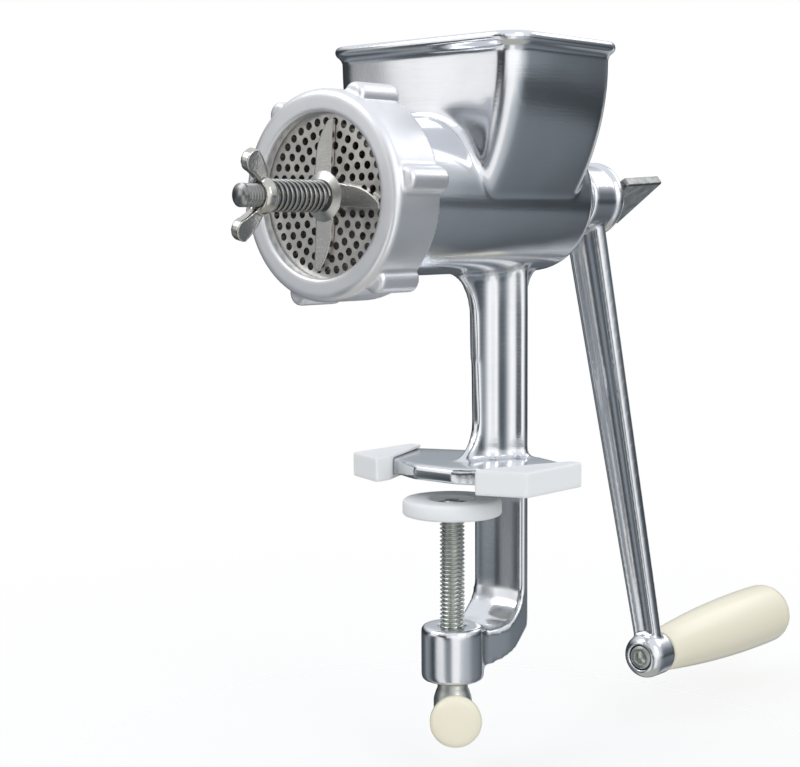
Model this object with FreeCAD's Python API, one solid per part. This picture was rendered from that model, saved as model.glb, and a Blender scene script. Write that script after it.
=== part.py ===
import FreeCAD, Part

import math
import os

# Hand-cranked food mill that clamps to a table edge, in millimetres.
# +Z is up, the barrel lies along Y with its outlet at -Y and its crank at +Y.
# The origin lies on the clamp screw's axis, in the plane that rests on the table top.

V = FreeCAD.Vector
UP = V(0, 0, 1)
BACK = V(0, 1, 0)

# ---- running and seating clearances ----
RUN_FIT = 0.05          # radial play of a shaft or thread in its bore
SEAT_FIT = 0.02         # radial play of a piece that is pressed or screwed home
FLAT_GAP = 0.10         # play between flat faces that slide on each other
LOOSE_FIT = 0.40        # play of parts that only pass each other

# ---- barrel ----
BARREL_Z = 108.5        # axis height above the table top
BARREL_R = 28.6
BORE_R = 25.0
BARREL_FRONT_Y = -66.0
BARREL_REAR_Y = 54.0
REAR_WALL = 6.0
COLLAR_R = 33.6         # outside of the threaded mouth
COLLAR_LENGTH = 14.5
BEARING_R = 13.0        # outside of the rear bearing boss
BEARING_END_Y = 73.5

# ---- ring nut and die plate ----
RING_R = 36.6
RING_OPENING_R = 28.5
RING_FRONT_Y = -71.5
RING_DEPTH = 22.0
RING_LIP = 4.5
RING_EDGE = 2.6
LUG_COUNT = 6
LUG_R = 4.6
LUG_REACH = 36.3        # radius that the lug centres stand on
LUG_TURN = 8.0          # degrees from +X of the first lug
PLATE_R = 31.0
PLATE_THICK = 4.0
PLATE_BORE_PLAY = 0.5      # radial room round the stud in the die plate
DIE_HOLE_R = 1.4
DIE_RINGS = ((9.6, 14), (13.6, 20), (17.6, 26), (21.6, 32), (25.6, 38))
KEY_R = 1.5

# ---- hopper ----
HOPPER_HALF_X = 43.4
HOPPER_FRONT_Y = -17.75
HOPPER_REAR_Y = 45.1
HOPPER_TOP = 57.4       # rim above the barrel axis
HOPPER_WALL = 2.8
HOPPER_CORNER = 8.0
HOPPER_CURVE_TOP = 50.0  # where the side walls start to curve in, above the axis
LIP_REACH = 2.8
LIP_HEIGHT = 4.2

# ---- column, jaw and C frame ----
SPINE_HALF_X = 12.5
SPINE_FRONT_Y = 28.3
SPINE_DEPTH = 7.9
SPINE_EDGE = 3.1         # depth of the flange's square sides, before the bevel
SPINE_BEVEL = 4.5
RIDGE = 0.7
WEB_HALF_X = 2.4
WEB_FRONT_Y = 14.4
MID_RIB_HALF_X = 6.6
MID_RIB_Y = 19.2           # front of the rounded bead that stands on each side of the web
MID_RIB_BEAD = 2.6         # its depth
FLANGE_RIM = 1.1           # flat left on the rear flange beside the hollow
JAW_BOTTOM = 1.9
JAW_THICK = 6.0
JAW_HALF_X = 41.4
JAW_NOSE_HALF_X = 9.5
JAW_NOSE_Y = -11.5
JAW_SHOULDER_X = 24.0
JAW_SHOULDER_Y = -5.5
COVER_WALL = 1.6
COVER_HALF_X = 43.0
COVER_FRONT_Y = -9.5
COVER_REAR_Y = 25.0
COVER_REAR_WIDTH = 6.0
COVER_INNER_X = 23.8
COVER_INNER_Y = -16.6
COVER_STEP_Y = -8.6
BOSS_R = 12.1
BOSS_TOP = -55.0
BOSS_BOTTOM = -76.0
FRAME_BEND_R = 14.0     # inside radius of the C frame's lower bend

# ---- clamp screw and pad ----
CLAMP_SCREW_R = 4.75
CLAMP_TIP_R = 3.2
CLAMP_SHANK_R = 5.9
PAD_R = 19.0
PAD_TOP = -5.6
PAD_THICK = 6.4
PAD_RECESS_R = 8.5
PAD_RECESS = 2.6
EYE_R = 7.4
HANDLE_Z = -88.6
HANDLE_ANGLE = -46.0    # degrees from +X
HANDLE_BAR_R = 3.0
HANDLE_HEAD_R = 4.4     # upset head on the bar's plain end
HANDLE_HEAD = 2.6
KNOB_R = 9.9
KNOB_NECK_R = 6.8
KNOB_LENGTH = 10.6
KNOB_EDGE = 3.4
KNOB_CAP = 5.0          # plastic left beyond the end of the bar
KNOB_START = 7.6        # from the screw's axis to each knob's inner end

# ---- feed screw and what runs with it ----
SHAFT_R = 7.0
BUSH_R = 9.5
THRUST_R = 15.5
THRUST_THICK = 2.0
SCREW_CORE_R = 9.0
SCREW_CORE_REAR_R = 12.0
FLIGHT_PITCH = 22.0
FLIGHT_THICK = 3.2
STUD_R = 4.0
STUD_TIP_Y = -108.5
STUD_SOCKET = 16.0
CUTTER_TIP_R = 26.4
CUTTER_THICK = 1.8
CUTTER_HUB_R = 6.6
CUTTER_HUB_LENGTH = 3.1
SPRING_PLAY = 0.45         # radial room between the stud and the coils
SPRING_WIRE_R = 0.6
SPRING_LENGTH = 25.7
SPRING_COILS = 11
NUT_BOSS_R = 6.5
NUT_BOSS_LENGTH = 4.6
WING_ANGLE = 77.0       # degrees from +X
WING_REACH = 15.4
WING_THICK = 3.6
WING_SWEEP = 7.6        # how far the wing tips stand in front of the boss

# ---- crank ----
HUB_R = 13.9
HUB_FRONT_Y = 75.0
HUB_RIM_Y = 93.5
HUB_RIM_R = 15.2
HUB_RIM_WIDTH = 4.0
HUB_DOME_Y = 100.0
HUB_DOME_R = 10.5
SQUARE = 9.5            # across the flats of the shaft's driving end
ARM_X = 19.7            # grip axis beside the barrel axis
ARM_DROP = 193.7        # grip axis below the barrel axis
ARM_BOSS_R = 9.4
ARM_BOSS_EDGE = 4.8
ARM_BOSS_Y = 100.2
ARM_BOSS_LENGTH = 14.0
ARM_WIDTH = 18.2
ARM_WIDTH_END = 12.0
ARM_THICK = 6.6
ARM_THICK_END = 5.6
ARM_HUB_Y = 83.6
ARM_FOOT_Y = 109.0
ARM_ROUND = 0.15           # corner radius, bead and groove depth are shares of the arm's width
ARM_BEAD = 0.03
ARM_GROOVE = 0.11
GRIP_END_Y = 212.6
GRIP_R_START = 8.9
GRIP_R = 13.6
GRIP_END_R = 8.6        # flat of the grip's blunt end
GRIP_BOLT_R = 3.0
GRIP_HEAD_R = 5.0
GRIP_HEAD_DEPTH = 4.6   # how deep the bolt's head seat lies in the arm's boss
NUT_POCKET = 9.0
NUT_POCKET_R = 6.6
NUT_ACROSS = 10.0
NUT_THICK = 5.0
WASHER_THICK = 1.2
THUMB_SHANK_R = 4.0
SCREW_HOLE_PLAY = 0.3      # radial room of the thumb screw in hub and washer
THUMB_LENGTH = 24.5
THUMB_HALF_START = 12.3
THUMB_HALF_END = 14.4
THUMB_THICK = 4.2
THUMB_ANGLE = 37.0      # degrees from +X

# ---- places that follow from the sizes above ----
PLATE_FRONT_Y = RING_FRONT_Y + RING_LIP
PLATE_BORE_R = STUD_R + PLATE_BORE_PLAY
SPRING_R = STUD_R + SPRING_PLAY + 2 * SPRING_WIRE_R
SCREW_HOLE_R = THUMB_SHANK_R + SCREW_HOLE_PLAY
PLATE_REAR_Y = PLATE_FRONT_Y + PLATE_THICK
CHAMBER_END_Y = BARREL_REAR_Y - REAR_WALL
CUTTER_REAR_Y = PLATE_FRONT_Y - FLAT_GAP
SPRING_REAR_Y = CUTTER_REAR_Y - CUTTER_HUB_LENGTH
SPRING_FRONT_Y = SPRING_REAR_Y - SPRING_LENGTH
HOPPER_RIM_Z = BARREL_Z + HOPPER_TOP
SPINE_REAR_Y = SPINE_FRONT_Y + SPINE_DEPTH
PAD_BOTTOM = PAD_TOP - PAD_THICK
GRIP_Z = BARREL_Z - ARM_DROP
GRIP_START_Y = ARM_BOSS_Y + ARM_BOSS_LENGTH + 2 * FLAT_GAP + WASHER_THICK
HUB_WASHER_END_Y = HUB_DOME_Y + WASHER_THICK


# ---- solids from outlines ----
def block(x0, x1, y0, y1, z0, z1):
    return Part.makeBox(x1 - x0, y1 - y0, z1 - z0, V(x0, y0, z0))


def rod_y(radius, y0, y1, x=0.0, z=BARREL_Z):
    return Part.makeCylinder(radius, y1 - y0, V(x, y0, z), BACK)


def rod_z(radius, z0, z1, x=0.0, y=0.0):
    return Part.makeCylinder(radius, z1 - z0, V(x, y, z0), UP)


def polygon_face(points):
    return Part.Face(Part.makePolygon(points + [points[0]]))


def plan_prism(points, z0, z1):
    """Outline of (x, y) points, raised from z0 to z1."""
    return polygon_face([V(x, y, z0) for x, y in points]).extrude(V(0, 0, z1 - z0))


def turned_y(points, x=0.0, z=BARREL_Z):
    """Outline of (radius, y) points, turned about a line along Y."""
    face = polygon_face([V(x + r, y, z) for r, y in points])
    return face.revolve(V(x, 0, z), BACK, 360)


def turned_z(points, x=0.0, y=0.0):
    """Outline of (radius, z) points, turned about a line along Z."""
    face = polygon_face([V(x + r, y, z) for r, z in points])
    return face.revolve(V(x, y, 0), UP, 360)


def arc_edge(start, middle, end):
    return Part.Arc(start, middle, end).toShape()


def line_edge(start, end):
    return Part.LineSegment(start, end).toShape()


def fuse(first, *others):
    return first.multiFuse(list(others)).removeSplitter()


def rounded(shape, radius, chosen):
    """The shape with a fillet on each edge whose middle point passes the test."""
    edges = [e for e in shape.Edges if chosen(e.CenterOfMass, e)]
    return shape.makeFillet(radius, edges)


def on_barrel(radius, degrees, y):
    """Point at a radius and an angle from +X about the barrel axis."""
    a = math.radians(degrees)
    return V(radius * math.cos(a), y, BARREL_Z + radius * math.sin(a))


# ---- the one-piece casting ----
def hopper_outline(half_x, foot_half_x, y, top):
    """Hopper cross-section: upright at the top, its sides curving in to the barrel."""
    curve_z = BARREL_Z + HOPPER_CURVE_TOP
    inset = half_x - foot_half_x
    rise = HOPPER_CURVE_TOP
    radius = (inset ** 2 + rise ** 2) / (2 * inset)
    mid_z = BARREL_Z + rise / 2
    mid_x = half_x - radius + math.sqrt(radius ** 2 - (rise / 2) ** 2)
    foot_right = V(foot_half_x, y, BARREL_Z)
    foot_left = V(-foot_half_x, y, BARREL_Z)
    edges = [
        line_edge(foot_left, foot_right),
        arc_edge(foot_right, V(mid_x, y, mid_z), V(half_x, y, curve_z)),
        line_edge(V(half_x, y, curve_z), V(half_x, y, top)),
        line_edge(V(half_x, y, top), V(-half_x, y, top)),
        line_edge(V(-half_x, y, top), V(-half_x, y, curve_z)),
        arc_edge(V(-half_x, y, curve_z), V(-mid_x, y, mid_z), foot_left),
    ]
    return Part.Face(Part.Wire(edges))


def hopper_solid(half_x, foot_half_x, front, rear, corner, top):
    body = hopper_outline(half_x, foot_half_x, front, top).extrude(V(0, rear - front, 0))

    def at_corner(middle, edge):
        beside = abs(middle.x) > foot_half_x + 1
        at_end = min(abs(middle.y - front), abs(middle.y - rear)) < 0.01
        return beside and at_end and abs(middle.z - top) > 0.01

    return rounded(body, corner, at_corner)


def hopper_lip():
    """Rolled rim round the hopper's mouth."""
    half_x = HOPPER_HALF_X + LIP_REACH
    front = HOPPER_FRONT_Y - LIP_REACH
    rear = HOPPER_REAR_Y + LIP_REACH
    lip = block(-half_x, half_x, front, rear, HOPPER_RIM_Z - LIP_HEIGHT, HOPPER_RIM_Z)
    mid_z = HOPPER_RIM_Z - LIP_HEIGHT / 2
    lip = rounded(lip, HOPPER_CORNER + LIP_REACH, lambda m, e: abs(m.z - mid_z) < 0.1)
    return rounded(lip, LIP_HEIGHT * 0.42, lambda m, e: abs(m.z - mid_z) > 1)


def barrel_solid():
    rear_edge = 4.0
    barrel = rod_y(BARREL_R, BARREL_FRONT_Y, BARREL_REAR_Y)
    barrel = rounded(barrel, rear_edge, lambda m, e: abs(m.y - BARREL_REAR_Y) < 0.01)
    collar_end = BARREL_FRONT_Y + COLLAR_LENGTH
    collar = turned_y([
        (0, BARREL_FRONT_Y), (COLLAR_R - 0.8, BARREL_FRONT_Y), (COLLAR_R, BARREL_FRONT_Y + 0.8),
        (COLLAR_R, collar_end), (BARREL_R - 1, collar_end + 3.0), (0, collar_end + 3.0)])
    bearing = turned_y([
        (0, CHAMBER_END_Y), (BEARING_R + 6, CHAMBER_END_Y), (BEARING_R + 4, BARREL_REAR_Y),
        (BEARING_R, BARREL_REAR_Y + 5), (BEARING_R, BEARING_END_Y - 1), (BEARING_R - 1, BEARING_END_Y),
        (0, BEARING_END_Y)])
    return fuse(barrel, collar, bearing)


def column_web():
    """Upright web under the barrel, flared forwards at its head and foot."""
    foot_z = JAW_BOTTOM + JAW_THICK - 1
    head_z = BARREL_Z - BARREL_R + 4
    foot_y = WEB_FRONT_Y - 9.5
    waist_y = WEB_FRONT_Y - 1.6
    head_y = WEB_FRONT_Y - 16.5
    edges = [
        line_edge(V(0, SPINE_FRONT_Y + 1, foot_z), V(0, foot_y, foot_z)),
        line_edge(V(0, foot_y, foot_z), V(0, foot_y, foot_z + 1.6)),
        arc_edge(V(0, foot_y, foot_z + 1.6), V(0, WEB_FRONT_Y - 2.8, foot_z + 7.2),
                 V(0, WEB_FRONT_Y, foot_z + 17)),
        line_edge(V(0, WEB_FRONT_Y, foot_z + 17), V(0, waist_y, head_z - 20)),
        arc_edge(V(0, waist_y, head_z - 20), V(0, WEB_FRONT_Y - 5.6, head_z - 9.5),
                 V(0, head_y, head_z - 3)),
        line_edge(V(0, head_y, head_z - 3), V(0, head_y, head_z)),
        line_edge(V(0, head_y, head_z), V(0, SPINE_FRONT_Y + 1, head_z)),
        line_edge(V(0, SPINE_FRONT_Y + 1, head_z), V(0, SPINE_FRONT_Y + 1, foot_z)),
    ]
    web = Part.Face(Part.Wire(edges)).extrude(V(2 * WEB_HALF_X, 0, 0))
    web.translate(V(-WEB_HALF_X, 0, 0))
    return web


def mid_rib():
    """Bead on each side of the web, with a hollow that runs out to the rear flange."""
    start_y = MID_RIB_Y - 3.0
    bead_end = V(MID_RIB_HALF_X, MID_RIB_Y + MID_RIB_BEAD, 0)
    hollow_end = V(SPINE_HALF_X - FLANGE_RIM, SPINE_FRONT_Y, 0)
    hollow_middle = (bead_end + hollow_end) * 0.5 + V(-1.2, 1.0, 0)
    bead_middle = V(MID_RIB_HALF_X - 0.7, MID_RIB_Y + 0.6, 0)
    bead_start = V(WEB_HALF_X + 1.7, MID_RIB_Y, 0)
    inside = SPINE_FRONT_Y + 1
    edges = [
        line_edge(V(0, start_y, 0), V(WEB_HALF_X, start_y, 0)),
        line_edge(V(WEB_HALF_X, start_y, 0), bead_start),
        arc_edge(bead_start, bead_middle, bead_end),
        arc_edge(bead_end, hollow_middle, hollow_end),
        line_edge(hollow_end, V(hollow_end.x, inside, 0)),
        line_edge(V(hollow_end.x, inside, 0), V(0, inside, 0)),
        line_edge(V(0, inside, 0), V(0, start_y, 0)),
    ]
    foot_z = JAW_BOTTOM + JAW_THICK - 1
    head_z = BARREL_Z - BARREL_R + 3
    right = Part.Face(Part.Wire(edges)).extrude(V(0, 0, head_z - foot_z))
    right.translate(V(0, 0, foot_z))
    return fuse(right, right.mirror(V(0, 0, 0), V(1, 0, 0)))


def spine_section():
    """Flat front, bevelled back: the section of the column's rear flange."""
    edge_y = SPINE_FRONT_Y + SPINE_EDGE
    back_x = SPINE_HALF_X - SPINE_BEVEL
    return [(-SPINE_HALF_X, SPINE_FRONT_Y), (SPINE_HALF_X, SPINE_FRONT_Y), (SPINE_HALF_X, edge_y),
            (back_x, SPINE_REAR_Y), (-back_x, SPINE_REAR_Y), (-SPINE_HALF_X, edge_y)]


def column_spine():
    bend_z = BOSS_TOP - 2.5 + FRAME_BEND_R
    spine = plan_prism(spine_section(), bend_z, BARREL_Z - BARREL_R + 6)
    flare_z = BARREL_Z - BARREL_R + 5
    flare_edges = [
        line_edge(V(0, SPINE_REAR_Y - 3, flare_z - 24), V(0, SPINE_REAR_Y - 3, flare_z)),
        line_edge(V(0, SPINE_REAR_Y - 3, flare_z), V(0, SPINE_REAR_Y + 12, flare_z)),
        arc_edge(V(0, SPINE_REAR_Y + 12, flare_z), V(0, SPINE_REAR_Y + 3.4, flare_z - 9),
                 V(0, SPINE_REAR_Y, flare_z - 24)),
        line_edge(V(0, SPINE_REAR_Y, flare_z - 24), V(0, SPINE_REAR_Y - 3, flare_z - 24)),
    ]
    half_x = SPINE_HALF_X - SPINE_BEVEL
    flare = Part.Face(Part.Wire(flare_edges)).extrude(V(2 * half_x, 0, 0))
    flare.translate(V(-half_x, 0, 0))
    return fuse(spine, flare)


def frame_bend():
    """Lower part of the C frame, from the column round to the screw boss."""
    floor_z = BOSS_TOP - 2.5
    bend_z = floor_z + FRAME_BEND_R
    centre_y = SPINE_FRONT_Y - FRAME_BEND_R
    low = BOSS_BOTTOM + 5.0
    diagonal = FRAME_BEND_R * math.sqrt(0.5)
    inner_mid = V(0, centre_y + diagonal, bend_z - diagonal)
    drop = bend_z - low
    outer_mid = V(0, centre_y + (SPINE_REAR_Y - centre_y) * 0.72, bend_z - drop * 0.64)
    edges = [
        line_edge(V(0, SPINE_REAR_Y, bend_z + 1), V(0, SPINE_FRONT_Y, bend_z + 1)),
        line_edge(V(0, SPINE_FRONT_Y, bend_z + 1), V(0, SPINE_FRONT_Y, bend_z)),
        arc_edge(V(0, SPINE_FRONT_Y, bend_z), inner_mid, V(0, centre_y, floor_z)),
        line_edge(V(0, centre_y, floor_z), V(0, 0, floor_z)),
        line_edge(V(0, 0, floor_z), V(0, 0, low)),
        line_edge(V(0, 0, low), V(0, centre_y - 3, low)),
        arc_edge(V(0, centre_y - 3, low), outer_mid, V(0, SPINE_REAR_Y, bend_z)),
        line_edge(V(0, SPINE_REAR_Y, bend_z), V(0, SPINE_REAR_Y, bend_z + 1)),
    ]
    bend = Part.Face(Part.Wire(edges)).extrude(V(2 * SPINE_HALF_X, 0, 0))
    bend.translate(V(-SPINE_HALF_X, 0, 0))
    # in plan the arm narrows from the column's width to the boss
    neck_x = 9.5
    front = [(-SPINE_HALF_X, 20), (-neck_x, 6), (-neck_x, 0), (neck_x, 0), (neck_x, 6), (SPINE_HALF_X, 20)]
    outline = spine_section()[2:] + front
    return bend.common(plan_prism(outline, low - 1, bend_z + 2))


def frame_ridge():
    """Low crest along the middle of the C frame's inner face."""
    bend_z = BOSS_TOP - 2.5 + FRAME_BEND_R
    section = [(-SPINE_HALF_X + 0.5, SPINE_FRONT_Y + 0.3), (0, SPINE_FRONT_Y - RIDGE),
               (SPINE_HALF_X - 0.5, SPINE_FRONT_Y + 0.3)]
    straight = plan_prism(section, bend_z, JAW_BOTTOM + 1)
    face = polygon_face([V(x, y, bend_z) for x, y in section])
    curved = face.revolve(V(0, SPINE_FRONT_Y - FRAME_BEND_R, bend_z), V(-1, 0, 0), 80)
    return fuse(straight, curved)


def jaw_outline(grow):
    """Plan of the upper jaw plate."""
    front_right = [(JAW_NOSE_HALF_X, JAW_NOSE_Y - grow), (JAW_SHOULDER_X, JAW_SHOULDER_Y - grow),
                   (JAW_HALF_X + grow, COVER_FRONT_Y + COVER_WALL - grow)]
    rear_right = [(JAW_HALF_X + grow, COVER_REAR_Y - 0.8), (SPINE_HALF_X + 2.5, SPINE_REAR_Y - 0.5)]
    right = front_right + rear_right
    return right + [(-x, y) for x, y in reversed(right)]


def jaw_plate():
    top = JAW_BOTTOM + JAW_THICK
    plate = plan_prism(jaw_outline(0), JAW_BOTTOM, top)
    return rounded(plate, 0.9, lambda m, e: abs(m.x) < 20 and m.y < -10 and e.Length > 5)


def clamp_boss():
    edge = 1.3
    boss = rod_z(BOSS_R, BOSS_BOTTOM, BOSS_TOP)
    return rounded(boss, edge, lambda m, e: e.Length > BOSS_R * 4)


def body_casting():
    corner_inner = HOPPER_CORNER - HOPPER_WALL
    hopper = hopper_solid(HOPPER_HALF_X, BARREL_R - 0.1, HOPPER_FRONT_Y, HOPPER_REAR_Y, HOPPER_CORNER,
                          HOPPER_RIM_Z - 0.5)
    casting = fuse(barrel_solid(), hopper, hopper_lip(), column_web(), mid_rib(), column_spine(),
                   frame_bend(), frame_ridge(), jaw_plate(), clamp_boss())
    cavity = hopper_solid(HOPPER_HALF_X - HOPPER_WALL, BORE_R - 0.1, HOPPER_FRONT_Y + HOPPER_WALL,
                          HOPPER_REAR_Y - HOPPER_WALL, corner_inner, HOPPER_RIM_Z + 5)
    chamber = rod_y(BORE_R, BARREL_FRONT_Y - 1, CHAMBER_END_Y)
    plate_seat = rod_y(PLATE_R + 0.2, BARREL_FRONT_Y - 1, PLATE_REAR_Y)
    bush_bore = rod_y(BUSH_R + SEAT_FIT, CHAMBER_END_Y - 1, BEARING_END_Y + 1)
    screw_bore = rod_z(CLAMP_SCREW_R + RUN_FIT, BOSS_BOTTOM - 1, BOSS_TOP + 1)
    for hollow in (cavity, chamber, plate_seat, bush_bore, screw_bore, key_pin_solid(KEY_R + SEAT_FIT, 0)):
        casting = casting.cut(hollow)
    return casting


def key_pin_solid(radius, grow):
    """Pin along Y, half sunk in the wall of the barrel's mouth, under the axis."""
    return rod_y(radius, BARREL_FRONT_Y + 0.4 - grow, PLATE_REAR_Y + 2.5 + grow, 0, BARREL_Z - PLATE_R - 0.3)


def plate_key():
    return key_pin_solid(KEY_R, 0)


# ---- outlet ----
def ring_nut():
    rear_y = RING_FRONT_Y + RING_DEPTH
    ring = rod_y(RING_R, RING_FRONT_Y, rear_y)
    ring = rounded(ring, RING_EDGE, lambda m, e: abs(m.y - RING_FRONT_Y) < 0.01)
    lugs = []
    for i in range(LUG_COUNT):
        angle = LUG_TURN + i * 360.0 / LUG_COUNT
        foot = on_barrel(LUG_REACH, angle, RING_FRONT_Y + 3.2)
        lug = Part.makeCylinder(LUG_R, RING_DEPTH - 3.2, foot, BACK)
        lug = lug.makeFillet(1.6, [e for e in lug.Edges if abs(e.CenterOfMass.y - foot.y) < 0.01])
        lugs.append(lug)
    ring = fuse(ring, *lugs)
    opening = rod_y(RING_OPENING_R, RING_FRONT_Y - 1, rear_y + 1)
    thread = rod_y(COLLAR_R + RUN_FIT, PLATE_FRONT_Y, rear_y + 1)
    ring = ring.cut(opening).cut(thread)
    longest = 2 * math.pi * RING_OPENING_R + 1
    return rounded(ring, 0.8, lambda m, e: abs(m.y - RING_FRONT_Y) < 0.01 and e.Length < longest)


def die_plate():
    plate = rod_y(PLATE_R, PLATE_FRONT_Y, PLATE_REAR_Y)
    holes = [rod_y(PLATE_BORE_R, PLATE_FRONT_Y - 1, PLATE_REAR_Y + 1)]
    for radius, count in DIE_RINGS:
        for i in range(count):
            at = on_barrel(radius, 360.0 * (i + 0.5) / count, PLATE_FRONT_Y - 1)
            holes.append(Part.makeCylinder(DIE_HOLE_R, PLATE_THICK + 2, at, BACK))
    holes.append(key_pin_solid(KEY_R + LOOSE_FIT, 1))
    return plate.cut(Part.makeCompound(holes))


# ---- feed screw line ----
def rear_bush():
    bush = rod_y(BUSH_R, CHAMBER_END_Y, BEARING_END_Y)
    return bush.cut(rod_y(SHAFT_R + RUN_FIT, CHAMBER_END_Y - 1, BEARING_END_Y + 1))


def thrust_washer():
    start = CHAMBER_END_Y - THRUST_THICK
    washer = rod_y(THRUST_R, start, CHAMBER_END_Y)
    return washer.cut(rod_y(SHAFT_R + RUN_FIT, start - 1, CHAMBER_END_Y + 1))


def auger():
    """Feed screw: a tapered core with one flight, its shaft and its squared end."""
    core_end = CHAMBER_END_Y - THRUST_THICK - FLAT_GAP
    core_start = PLATE_REAR_Y + FLAT_GAP
    core = turned_y([
        (0, core_start), (SCREW_CORE_R - 1, core_start), (SCREW_CORE_R, core_start + 1),
        (SCREW_CORE_REAR_R, core_end), (SHAFT_R, core_end), (SHAFT_R, HUB_FRONT_Y), (0, HUB_FRONT_Y)])
    flight_r = BORE_R - LOOSE_FIT
    length = core_end - core_start - FLIGHT_THICK - 4
    helix = Part.makeHelix(FLIGHT_PITCH, length, SCREW_CORE_R - 2)
    profile = Part.makePolygon([V(SCREW_CORE_R - 2, 0, 0), V(flight_r, 0, FLIGHT_THICK * 0.25),
                                V(flight_r, 0, FLIGHT_THICK * 0.75), V(SCREW_CORE_R - 2, 0, FLIGHT_THICK),
                                V(SCREW_CORE_R - 2, 0, 0)])
    flight = Part.Wire(helix.Edges).makePipeShell([profile], True, True)
    flight.rotate(V(0, 0, 0), V(1, 0, 0), -90)
    flight.translate(V(0, core_start + 1.5, BARREL_Z))
    half = SQUARE / 2
    drive = block(-half, half, HUB_FRONT_Y - 1, HUB_RIM_Y - 1.5, BARREL_Z - half, BARREL_Z + half)
    drive = drive.common(rod_y(SHAFT_R - 0.6, HUB_FRONT_Y - 1, HUB_RIM_Y))
    screw = fuse(core, flight, drive)
    stud_hole = rod_y(STUD_R + SEAT_FIT, core_start - 1, core_start + STUD_SOCKET)
    thumb_hole = rod_y(THUMB_SHANK_R + SEAT_FIT, HUB_RIM_Y - 22, HUB_RIM_Y)
    return screw.cut(stud_hole).cut(thumb_hole)


def front_stud():
    end = PLATE_REAR_Y + FLAT_GAP + STUD_SOCKET - 0.5
    return turned_y([(0, STUD_TIP_Y), (STUD_R - 1.1, STUD_TIP_Y), (STUD_R, STUD_TIP_Y + 1.1),
                     (STUD_R, end), (0, end)])


def cutter():
    """Four sickle blades on a hub, lying on the front of the die plate."""
    y1 = CUTTER_REAR_Y
    y0 = y1 - CUTTER_THICK
    blades = []
    for i in range(4):
        edges = [
            line_edge(V(3.0, y0, 2), V(3.0, y0, CUTTER_TIP_R)),
            line_edge(V(3.0, y0, CUTTER_TIP_R), V(0.6, y0, CUTTER_TIP_R - 0.6)),
            arc_edge(V(0.6, y0, CUTTER_TIP_R - 0.6), V(-3.2, y0, 19.0), V(-4.4, y0, 10.5)),
            arc_edge(V(-4.4, y0, 10.5), V(-4.8, y0, 6.5), V(-3.6, y0, 2)),
            line_edge(V(-3.6, y0, 2), V(3.0, y0, 2)),
        ]
        blade = Part.Face(Part.Wire(edges)).extrude(V(0, CUTTER_THICK, 0))
        blade.rotate(V(0, 0, 0), BACK, 90 * i + 4)
        blade.translate(V(0, 0, BARREL_Z))
        blades.append(blade)
    hub = turned_y([(0, SPRING_REAR_Y), (CUTTER_HUB_R - 0.8, SPRING_REAR_Y),
                    (CUTTER_HUB_R + 2, y0), (CUTTER_HUB_R + 2, y1), (0, y1)])
    whole = fuse(hub, *blades)
    return whole.cut(rod_y(STUD_R + RUN_FIT, SPRING_REAR_Y - 1, y1 + 1))


def cutter_spring():
    """Open coil spring between the wing nut and the cutter."""
    mean_r = SPRING_R - SPRING_WIRE_R
    travel = SPRING_LENGTH - 2 * SPRING_WIRE_R - 2 * FLAT_GAP
    helix = Part.makeHelix(travel / SPRING_COILS, travel, mean_r)
    section = Part.Wire(Part.makeCircle(SPRING_WIRE_R, V(mean_r, 0, 0), V(0, 1, 0)))
    coil = Part.Wire(helix.Edges).makePipeShell([section], True, True)
    coil.rotate(V(0, 0, 0), V(1, 0, 0), -90)
    coil.translate(V(0, SPRING_FRONT_Y + SPRING_WIRE_R + FLAT_GAP, BARREL_Z))
    return coil


def wing_nut():
    y1 = SPRING_FRONT_Y
    y0 = y1 - NUT_BOSS_LENGTH
    boss = turned_y([(0, y0), (NUT_BOSS_R - 1.4, y0), (NUT_BOSS_R - 0.4, y0 + 1.2), (NUT_BOSS_R, y1 - 0.8),
                     (NUT_BOSS_R - 0.8, y1), (0, y1)])
    tip_y = y0 - WING_SWEEP
    wings = []
    for side in (0, 180):
        edges = [
            line_edge(V(NUT_BOSS_R - 2.2, y1 - 0.9, 0), V(NUT_BOSS_R - 2.2, y0 + 0.4, 0)),
            line_edge(V(NUT_BOSS_R - 2.2, y0 + 0.4, 0), V(7.6, tip_y + 3.2, 0)),
            arc_edge(V(7.6, tip_y + 3.2, 0), V(12.0, tip_y, 0), V(WING_REACH, tip_y + 4.4, 0)),
            arc_edge(V(WING_REACH, tip_y + 4.4, 0), V(12.6, y0 - 0.4, 0), V(NUT_BOSS_R - 2.2, y1 - 0.9, 0)),
        ]
        wing = Part.Face(Part.Wire(edges)).extrude(V(0, 0, WING_THICK))
        wing.translate(V(0, 0, -WING_THICK / 2))
        wing.rotate(V(0, 0, 0), BACK, side - WING_ANGLE)
        wing.translate(V(0, 0, BARREL_Z))
        wings.append(wing)
    return fuse(boss, *wings).cut(rod_y(STUD_R + RUN_FIT, tip_y - 1, y1 + 1))


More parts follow.
